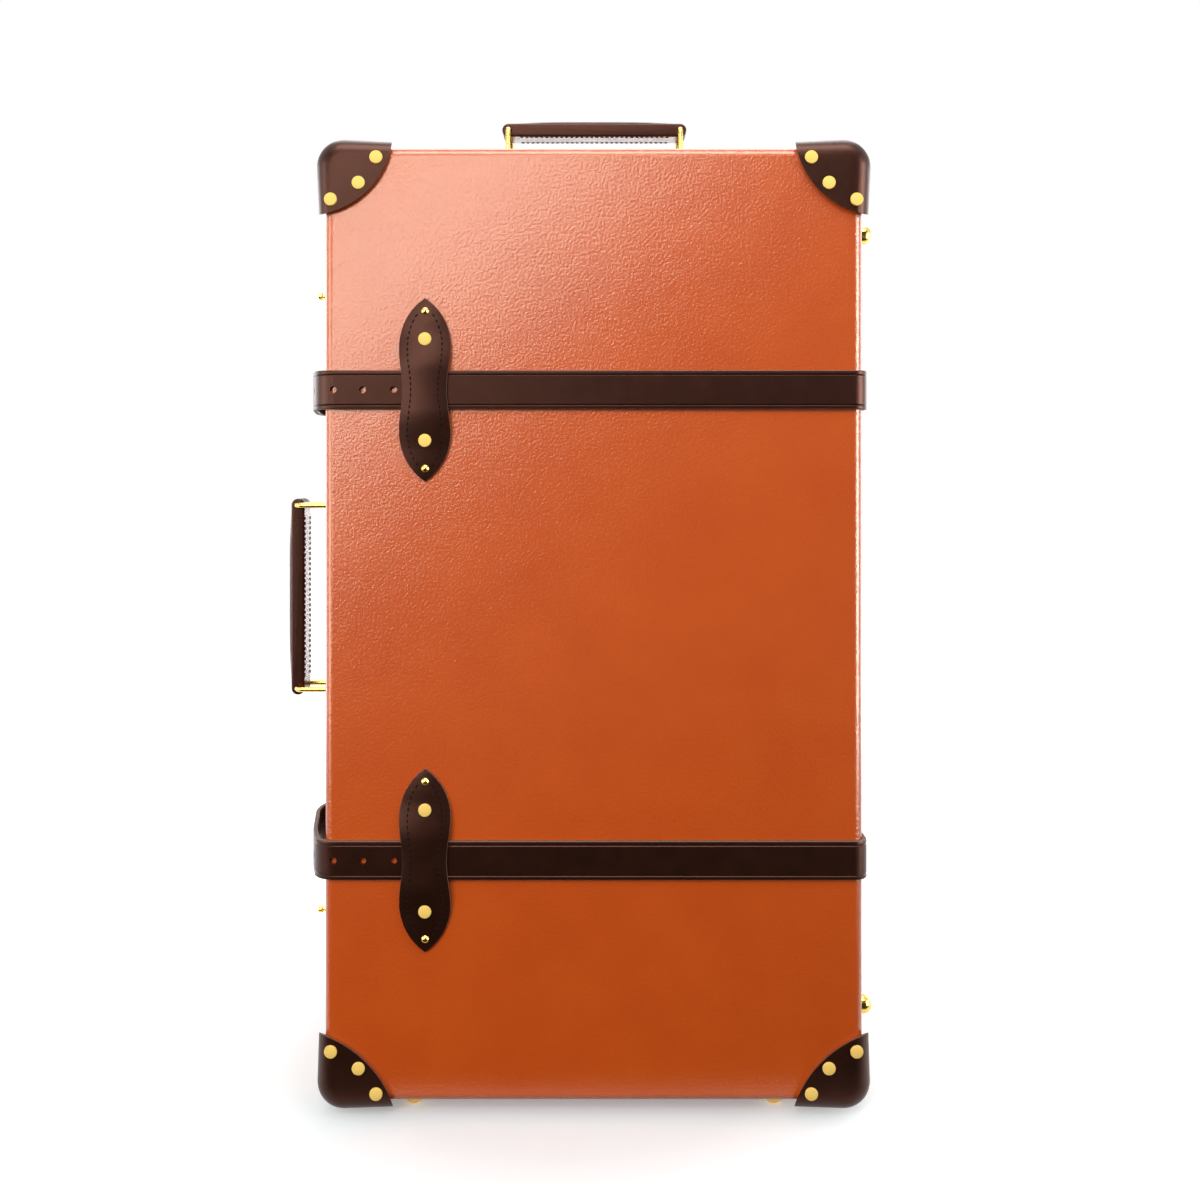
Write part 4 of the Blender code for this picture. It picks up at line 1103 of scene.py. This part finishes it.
def buckle_prong(heel, nose, height):
    hook = ROD_RADIUS + RUN_GAP + PRONG_RADIUS
    along = (nose - heel).normalized()
    outward = Vector((along.y, -along.x))
    leaving = math.degrees(math.atan2(outward.y, outward.x))
    tip = nose + outward * hook + along * PRONG_OVERHANG
    path = arc(heel, hook, leaving - PRONG_HOOK_ANGLE, leaving) + [tip]
    return wire([(*point, height) for point in path], PRONG_RADIUS, False)


# %% Strap loops
LOOP_THICKNESS = 0.0025
LOOP_CORNER_RADIUS = 0.003
LOOP_ROUND = 0.0005


def strap_loop(low, high):
    """A band bent to a U over the strap's end, with its ends on the wall."""
    inset = LOOP_THICKNESS / 2
    corners = [(high.x, high.z - inset), (low.x + inset, high.z - inset)]
    corners += [(low.x + inset, low.z + inset), (high.x, low.z + inset)]
    path = rounded_path(corners, [LOOP_CORNER_RADIUS] * 2)
    section = rounded_loop(high.y - low.y, LOOP_THICKNESS, LOOP_ROUND)
    points = [Vector((p.x, (low.y + high.y) / 2, p.y)) for p in path]
    return sweep(section, strip_places(points, Vector((0, -1, 0))))


for level, height, keeper_x, heel, nose in strap_levels():
    dress(f"{level}_buckle_frame", buckle_frame(heel, nose, height), brass)
    dress(f"{level}_buckle_prong", buckle_prong(heel, nose, height), brass)
    dress(f"{level}_strap_loop", strap_loop(*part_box(f"{level}_strap_loop")), leather)
print("two buckles with prongs and loops")

# %% [markdown]
# ## Keepers
# A leaf of leather bridges each strap and is riveted and nailed to the lid at both ends. Its outline
# is one flat face. Cuts across it let it bend over the strap, and an extrusion gives it thickness. A
# cloth simulation could drape it, but a smooth ramp is exact and comes out the same every time.

# %% Keeper shape
KEEPER_LEATHER = 0.003
KEEPER_ROUND = 0.0006
LOBE_HEIGHT = 0.0345
LOBE_HALF_WIDTH = 0.0205
WAIST_HALF_WIDTH = 0.0175
KEEPER_STEPS = 36
RAMP_START = 0.0155
RAMP_END = 0.050
RAMP_ROWS = 20
EDGE_FACING = 0.4


def leaf_half_width(height, leaf_height):
    """Half the leaf's width at a height from its middle: a waist, a lobe, then an arc to the tip."""
    height = abs(height)
    rise = leaf_height - LOBE_HEIGHT
    if height < LOBE_HEIGHT:
        swell = (1 - math.cos(math.pi * height / LOBE_HEIGHT)) / 2
        return WAIST_HALF_WIDTH + (LOBE_HALF_WIDTH - WAIST_HALF_WIDTH) * swell
    radius = (LOBE_HALF_WIDTH**2 + rise**2) / (2 * LOBE_HALF_WIDTH)
    drop = math.sqrt(max(0, radius**2 - (height - LOBE_HEIGHT) ** 2))
    return max(0, LOBE_HALF_WIDTH - radius + drop)


def keeper_lift(height):
    """How far the leaf's underside stands off the lid at a height from its middle."""
    share = min(1, max(0, (RAMP_END - abs(height)) / (RAMP_END - RAMP_START)))
    smooth = share * share * (3 - 2 * share)
    return FIT_GAP + (STRAP_THICKNESS + FIT_GAP) * smooth


def keeper(leaf_height):
    """The leaf about its middle, with X across, Z up and -Y away from the lid."""
    heights = [leaf_height * (2 * step / KEEPER_STEPS - 1) for step in range(KEEPER_STEPS + 1)]
    right = [(leaf_half_width(h, leaf_height), h) for h in heights]
    left = [(-x, h) for x, h in right[-2:0:-1]]
    shape = bmesh.new()
    shape.faces.new([shape.verts.new((x, 0, h)) for x, h in right + left])
    for row in range(RAMP_ROWS + 1):
        height = RAMP_START + (RAMP_END - RAMP_START) * row / RAMP_ROWS
        for level in (-height, height):
            whole = shape.verts[:] + shape.edges[:] + shape.faces[:]
            bmesh.ops.bisect_plane(shape, geom=whole, plane_co=(0, 0, level), plane_no=(0, 0, 1))
    for vert in shape.verts:
        vert.co.y = -keeper_lift(vert.co.z)
    drawn = bmesh.ops.extrude_face_region(shape, geom=shape.faces[:])["geom"]
    outer = [item for item in drawn if isinstance(item, bmesh.types.BMVert)]
    bmesh.ops.translate(shape, vec=(0, -KEEPER_LEATHER, 0), verts=outer)
    bmesh.ops.recalc_face_normals(shape, faces=shape.faces)
    soften(shape, sharp_edges(shape), KEEPER_ROUND, 2)
    for face in shape.faces:
        face.material_index = int(abs(face.normal.y) < EDGE_FACING)
    return shape


# %% [markdown]
# A row of saddle stitches follows each side of the leaf. A stitch is a small ball stretched along the
# row, with few faces because there are hundreds of them. Nails with round heads pin the leaf's tips.

# %% Stitches and nails
STITCH_FROM_EDGE = 0.0067
STITCH_PITCH = 0.0045
STITCH_SIZE = Vector((0.0007, 0.0005, 0.0016))
STITCH_REACH = 0.059
NAIL_RADIUS = 0.0031
HEAD_SINK = 0.0005


def stitch(place):
    """One stitch of thread, long in Z and half sunk in the leather."""
    shape = bmesh.new()
    bmesh.ops.create_uvsphere(shape, u_segments=8, v_segments=5, radius=1)
    bmesh.ops.scale(shape, vec=STITCH_SIZE, verts=shape.verts)
    return moved(shape, place)


def stitch_steps(reach):
    """Even places of stitches from -reach to reach."""
    count = round(2 * reach / STITCH_PITCH)
    return [reach * (2 * step / count - 1) for step in range(count + 1)]


def keeper_stitches(leaf_height):
    rows = []
    for side in (-1, 1):
        for height in stitch_steps(STITCH_REACH):
            ahead = height + STITCH_PITCH / 2
            x = side * (leaf_half_width(height, leaf_height) - STITCH_FROM_EDGE)
            lean = side * (leaf_half_width(ahead, leaf_height) - STITCH_FROM_EDGE) - x
            point = Vector((x, -keeper_lift(height) - KEEPER_LEATHER, height))
            turn = Matrix.Rotation(math.atan2(lean, STITCH_PITCH / 2), 4, "Y")
            rows.append(stitch(Matrix.Translation(point) @ turn))
    return gathered(rows)


def domed_head(radius, sink, center_share, dome_share, rim_angle, top_angle, step, sides):
    """A round head whose dome is an arc: its centre and radius are shares of the head's radius."""
    dome = arc((0, -radius * center_share), radius * dome_share, rim_angle, top_angle, step)
    top = radius * (dome_share - center_share)
    return turned([(0, -sink), (radius, -sink)] + dome + [(0, top)], sides)


# %% Add the keepers
KEEPER_RIVET_HEIGHT = 0.0403
NAIL_HEIGHT = 0.0626


def nail():
    """A round-headed brass nail."""
    shares = {"center_share": 0.6, "dome_share": 1.17}
    return domed_head(NAIL_RADIUS, HEAD_SINK, **shares, rim_angle=31, top_angle=85, step=9, sides=32)


for level in LEVELS:
    low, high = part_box(f"{level}_keeper_tab")
    leaf_height = (high.z - low.z) / 2
    place = Matrix.Translation(((low.x + high.x) / 2, FACE, (low.z + high.z) / 2))
    dress(f"{level}_keeper_tab", moved(keeper(leaf_height), place), leather, cut_edge)
    stitches = moved(keeper_stitches(leaf_height), place)
    add_piece(f"{level}_keeper_stitches", stitches, [thread], "lid")
    fasteners = (("rivets", rivet, KEEPER_RIVET_HEIGHT, satin_brass), ("nails", nail, NAIL_HEIGHT, brass))
    for name, head, height, metal in fasteners:
        out = -keeper_lift(height) - KEEPER_LEATHER
        seats = [standing(Vector((0, out, z)), Vector((0, -1, 0))) for z in (-height, height)]
        heads = gathered([moved(head(), place @ seat) for seat in seats])
        add_piece(f"{level}_keeper_{name}", heads, [metal], "lid")
print("two keepers")

# %% [markdown]
# ## Handles
# Each handle is a leather grip between two wire rings that swing in tubes on two brass plates. A
# stadium outline, extruded across the grip, has round ends, and a formula raises its crown. It could
# be sculpted from a box, but this way its bores stay round and centred on the rings.

# %% Handle plates and rings
RING_WIDTH = 0.037
RING_HEIGHT = 0.039
RING_CORNER_RADIUS = 0.005
TUBE_WALL = 0.0016
TUBE_SINK = 0.001
PLATE_LENGTH = 0.028
PLATE_THICKNESS = 0.0015
PLATE_ROUND = 0.0025
SCREW_FROM_MIDDLE = 0.0098
PLATE_SCREW_RADIUS = 0.0023
SCREW_SINK = 0.0003
# Two corners of a screw's slot, as shares of its head's radius.
SLOT_LOW_SHARES, SLOT_HIGH_SHARES = Vector((-1.2, -0.13, 0.05)), Vector((1.2, 0.13, 1))
TUBE_RADIUS = ROD_RADIUS + RUN_GAP + TUBE_WALL
PIVOT_OUT = FIT_GAP + PLATE_THICKNESS - TUBE_SINK + TUBE_RADIUS
BAR_OUT = PIVOT_OUT + RING_HEIGHT


def tube(bore, outside, length):
    """A ring of metal along Z, centred on zero, with its mouths eased."""
    ease = (outside - bore) / 4
    half = length / 2
    profile = [(bore, -half), (outside - ease, -half), (outside, ease - half), (outside, half - ease)]
    profile += [(outside - ease, half), (bore, half), (bore, -half)]
    return turned(profile, 40)


def eased_block(low, high, radius):
    shape = block(low, high)
    return soften(shape, shape.edges[:], radius, 2)


def screw(radius):
    """A slotted screw head."""
    shares = {"center_share": 1.6, "dome_share": 1.89}
    head = domed_head(radius, SCREW_SINK, **shares, rim_angle=58, top_angle=86, step=7, sides=24)
    slot = block(SLOT_LOW_SHARES * radius, SLOT_HIGH_SHARES * radius)
    return combine(head, slot, "DIFFERENCE")


def handle_plate(x):
    """A plate on the wall with a tube for a ring's inner bar and four screws."""
    half = PLATE_LENGTH / 2
    top = FIT_GAP + PLATE_THICKNESS
    plate = block((x - half, -half, FIT_GAP), (x + half, half, top))
    soften(plate, edges_along(plate, 2), PLATE_ROUND, 5)
    soften(plate, sharp_edges(plate), PLATE_THICKNESS / 5, 2)
    barrel = tube(ROD_RADIUS + RUN_GAP, TUBE_RADIUS, PLATE_LENGTH)
    shapes = [plate, moved(barrel, Matrix.Translation((x, 0, PIVOT_OUT)) @ ALONG_Y)]
    for sign_x in (-1, 1):
        for sign_y in (-1, 1):
            seat = (x + sign_x * SCREW_FROM_MIDDLE, sign_y * SCREW_FROM_MIDDLE, top)
            shapes.append(moved(screw(PLATE_SCREW_RADIUS), Matrix.Translation(seat)))
    return gathered(shapes)


def handle_ring(x):
    loop = rounded_loop(RING_WIDTH, RING_HEIGHT, RING_CORNER_RADIUS)
    return wire([(x, p.x, PIVOT_OUT + RING_HEIGHT / 2 + p.y) for p in loop], ROD_RADIUS, True)


# %% Grips
GRIP_THICKNESS = 0.0115
GRIP_CROWN = 0.004
GRIP_WIDTH = 0.026
GRIP_ROUND = 0.0016
GRIP_ROWS = 10
GRIP_STEP = 0.006


def grip(half):
    """A grip along X with its crown towards Z, bored for a ring at each end."""
    radius = GRIP_THICKNESS / 2
    outline = arc((half, 0), radius, -90, 90) + arc((-half, 0), radius, 90, 270)
    outline = evenly(outline + outline[:1], GRIP_STEP)[:-1]
    rows = [GRIP_WIDTH * (0.5 - row / GRIP_ROWS) for row in range(GRIP_ROWS + 1)]
    facing = ALONG_Y.inverted()
    shape = sweep(outline, [Matrix.Translation((0, y, 0)) @ facing for y in rows])
    rims = sharp_edges(shape)
    for vert in shape.verts:
        x_share = min(1, abs(vert.co.x) / half)
        y_share = 2 * vert.co.y / GRIP_WIDTH
        crown = GRIP_CROWN * (1 - x_share**4) * (1 - y_share**2)
        vert.co.z += crown * max(0, vert.co.z / radius)
    soften(shape, rims, GRIP_ROUND, 4)
    for x in (-half, half):
        bore = rod(ROD_RADIUS + RUN_GAP, 2 * GRIP_WIDTH)
        shape = combine(shape, moved(bore, Matrix.Translation((x, 0, 0)) @ ALONG_Y), "DIFFERENCE")
    return moved(shape, Matrix.Translation((0, 0, BAR_OUT)))


def grip_stitches(half):
    """Two rows of stitches along the grip's underside."""
    rows = []
    row_y = GRIP_WIDTH / 2 - GRIP_ROUND * 2
    lying = Matrix.Rotation(math.pi / 2, 4, "Y")
    for y in (-row_y, row_y):
        for x in stitch_steps(half - GRIP_THICKNESS):
            rows.append(stitch(Matrix.Translation((x, y, BAR_OUT - GRIP_THICKNESS / 2)) @ lying))
    return gathered(rows)


# %% Add the handles
# Turns a handle that stands up from the top so that it stands out from the left side.
SIDEWAYS = Matrix(((0, 0, -1, 0), (0, 1, 0, 0), (1, 0, 0, 0), (0, 0, 0, 1)))


def add_handle(name, place):
    half = (middle(f"{name}_second_ring") - middle(f"{name}_first_ring")).length / 2
    for end, x in (("first", -half), ("second", half)):
        dress(f"{name}_{end}_plate", moved(handle_plate(x), place), brass)
        dress(f"{name}_{end}_ring", moved(handle_ring(x), place), brass)
    dress(f"{name}_grip", moved(grip(half), place), leather)
    stitches = moved(grip_stitches(half), place)
    add_piece(f"{name}_grip_stitches", stitches, [thread], body_of(f"{name}_grip"))
    print(name, "spacing", round(2 * half, 4))


side_middle, top_middle = middle("side_handle_grip"), middle("top_handle_grip")
add_handle("side_handle", Matrix.Translation((LEFT, side_middle.y, side_middle.z)) @ SIDEWAYS)
add_handle("top_handle", Matrix.Translation((top_middle.x, top_middle.y, TOP)))

# %% [markdown]
# ## Hinges
# Two butt hinges stand on the right side. Their knuckles are short tubes on one pin, and each leaf is
# a thin plate held by three screws. Every part is a closed shape of its own, gathered in one mesh:
# a Boolean could fuse them, but their joints lie inside the metal, where nobody sees them.

# %% Hinges
PIN_RADIUS = 0.0017
KNUCKLE_WALL = 0.0014
LEAF_THICKNESS = 0.0015
LEAF_EASE = 0.0004
LEAF_SCREW_RADIUS = 0.0026
LEAF_SCREW_SHARES = (0.15, 0.5, 0.85)
KNUCKLE_RADIUS = PIN_RADIUS + FIT_GAP + KNUCKLE_WALL


def hinge_leaf(node, axis, knuckles):
    """A plate on the wall, a strap of it to each knuckle, and three screws."""
    low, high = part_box(node)
    side = 1 if (low.y + high.y) / 2 > PARTING else -1
    far = high.y if side > 0 else low.y
    near = PARTING + side * (KNUCKLE_RADIUS + RUN_GAP)
    inner, outer = RIGHT + FIT_GAP, RIGHT + FIT_GAP + LEAF_THICKNESS
    start_y, end_y = sorted((near, far))
    shapes = [eased_block((inner, start_y, low.z), (outer, end_y, high.z), LEAF_EASE)]
    start_y, end_y = sorted((PARTING, near + side * 4 * LEAF_EASE))
    for start, end in knuckles:
        strap_high = (outer - LEAF_EASE, end_y, end)
        shapes.append(eased_block((inner, start_y, start), strap_high, LEAF_EASE / 2))
        barrel = tube(PIN_RADIUS + FIT_GAP, KNUCKLE_RADIUS, end - start)
        shapes.append(moved(barrel, Matrix.Translation((axis.x, PARTING, (start + end) / 2))))
    for share in LEAF_SCREW_SHARES:
        seat = Vector((outer, (near + far) / 2, low.z + share * (high.z - low.z)))
        shapes.append(moved(screw(LEAF_SCREW_RADIUS), standing(seat, Vector((1, 0, 0)))))
    return gathered(shapes)


def hinge_pin(low, high):
    """A pin with slightly rounded ends."""
    ease = PIN_RADIUS / 3
    profile = [(0, low), (PIN_RADIUS - ease, low), (PIN_RADIUS, low + ease), (PIN_RADIUS, high - ease)]
    return turned(profile + [(PIN_RADIUS - ease, high), (0, high)], 32)


for level in LEVELS:
    low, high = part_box(f"{level}_hinge_pin")
    axis = (low + high) / 2
    third, half_gap = (high.z - low.z) / 3, RUN_GAP / 2
    lower_cut, upper_cut = low.z + third, high.z - third
    knuckles = {
        "base": [(low.z, lower_cut - half_gap), (upper_cut + half_gap, high.z)],
        "lid": [(lower_cut + half_gap, upper_cut - half_gap)],
    }
    for half, spans in knuckles.items():
        node = f"{level}_hinge_{half}_leaf"
        dress(node, hinge_leaf(node, axis, spans), brass)
    pin = moved(hinge_pin(low.z, high.z), Matrix.Translation((axis.x, axis.y, 0)))
    dress(f"{level}_hinge_pin", pin, brass)
print("two hinges")

# %% [markdown]
# ## Locks
# A lock case on the base has a thumb knob that slides in a slot. A hasp on the lid swings over it on
# a pin between two lugs. The case is a box with eased edges and its slot cut by a Boolean, and the
# knob is turned as the feet are, because both are round about one axis.

# %% Lock cases and knobs
LOCK_ROUND = 0.0018
SLOT_WIDTH = 0.008
SLOT_LENGTH = 0.026
SLOT_DEPTH = 0.0036
KNOB_RADIUS = 0.004
KNOB_NECK = 0.0017
KNOB_HEAD = 0.003
KNOB_ROUND = 0.0008
KNOB_HEIGHT = 0.013
NECK_START, NECK_END, HEAD_START = 0.2 * KNOB_HEIGHT, 0.65 * KNOB_HEIGHT, 0.72 * KNOB_HEIGHT


def lock_body(low, high, knob_y):
    """A case with eased outer edges and a slot for the knob's foot."""
    shape = block(low, high)
    outer = [e for e in shape.edges if any(v.co.x < (low.x + high.x) / 2 for v in e.verts)]
    soften(shape, outer, LOCK_ROUND, 4)
    center = Vector((low.x, knob_y, (low.z + high.z) / 2))
    reach = Vector((SLOT_DEPTH, SLOT_WIDTH / 2, SLOT_LENGTH / 2))
    return combine(shape, block(center - reach, center + reach), "DIFFERENCE")


def lock_knob(low, high):
    """A turned knob with a small head, on a foot that fills the slot's width."""
    foot_top = high.x - SLOT_DEPTH
    foot_block = eased_block((foot_top, low.y, low.z), high, KNOB_ROUND / 4)
    crown = (KNOB_HEAD - KNOB_ROUND, KNOB_HEIGHT - KNOB_ROUND - FIT_GAP)
    profile = [(0, -FIT_GAP), (KNOB_RADIUS, -FIT_GAP), (KNOB_NECK, NECK_START)]
    profile += [(KNOB_NECK, NECK_END), (KNOB_HEAD, HEAD_START)] + arc(crown, KNOB_ROUND, 0, 80, 16)
    knob = turned(profile + [(0, KNOB_HEIGHT)], 40)
    seat = Vector((foot_top, (low.y + high.y) / 2, (low.z + high.z) / 2))
    return gathered([foot_block, moved(knob, standing(seat, Vector((-1, 0, 0))))])


# %% Hasps
HASP_THICKNESS = 0.0022
HASP_BARREL = 0.0033
HASP_PIN_RADIUS = 0.0015
HASP_PLATE_THICKNESS = 0.002
LUG_LENGTH = 0.007
HASP_EASE = 0.0005


def hasp(low, high, pin):
    """A barrel on the pin with an arm over the lock, rounded at its tip."""
    barrel = tube(HASP_PIN_RADIUS + FIT_GAP, HASP_BARREL, high.z - low.z)
    arm = block((low.x, pin.y + HASP_PIN_RADIUS, low.z), (low.x + HASP_THICKNESS, high.y, high.z))
    soften(arm, [e for e in edges_along(arm, 0) if lies_at(e, 1, high.y)], HASP_BARREL, 5)
    soften(arm, sharp_edges(arm), HASP_EASE, 2)
    return gathered([moved(barrel, Matrix.Translation(pin)), arm])


def hasp_plate(low, high, pin):
    """A plate on the lid's wall with two lugs that hold the hasp's pin."""
    wall = LEFT - FIT_GAP
    plate_top = wall - HASP_PLATE_THICKNESS
    shapes = [eased_block((plate_top, low.y, low.z), (wall, high.y, high.z), HASP_EASE)]
    for start, end in ((low.z, low.z + LUG_LENGTH), (high.z - LUG_LENGTH, high.z)):
        lug_low = Vector((pin.x, pin.y - HASP_BARREL + HASP_EASE, start))
        lug_high = Vector((plate_top + HASP_EASE, high.y - HASP_EASE, end))
        shapes.append(eased_block(lug_low, lug_high, HASP_EASE / 2))
        knuckle = tube(HASP_PIN_RADIUS - FIT_GAP, HASP_BARREL, end - start)
        shapes.append(moved(knuckle, Matrix.Translation((pin.x, pin.y, (start + end) / 2))))
    bar = rod(HASP_PIN_RADIUS, high.z - low.z - 2 * RUN_GAP)
    return gathered(shapes + [moved(bar, Matrix.Translation(pin))])


for level in LEVELS:
    low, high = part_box(f"{level}_hasp")
    pin = Vector((low.x + HASP_BARREL, low.y + HASP_BARREL, (low.z + high.z) / 2))
    knob_y = middle(f"{level}_lock_knob").y
    dress(f"{level}_lock_body", lock_body(*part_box(f"{level}_lock_body"), knob_y), brass)
    dress(f"{level}_lock_knob", lock_knob(*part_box(f"{level}_lock_knob")), brass)
    dress(f"{level}_hasp", hasp(low, high, pin), brass)
    dress(f"{level}_hasp_plate", hasp_plate(*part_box(f"{level}_hasp_plate"), pin), brass)
print("two locks")
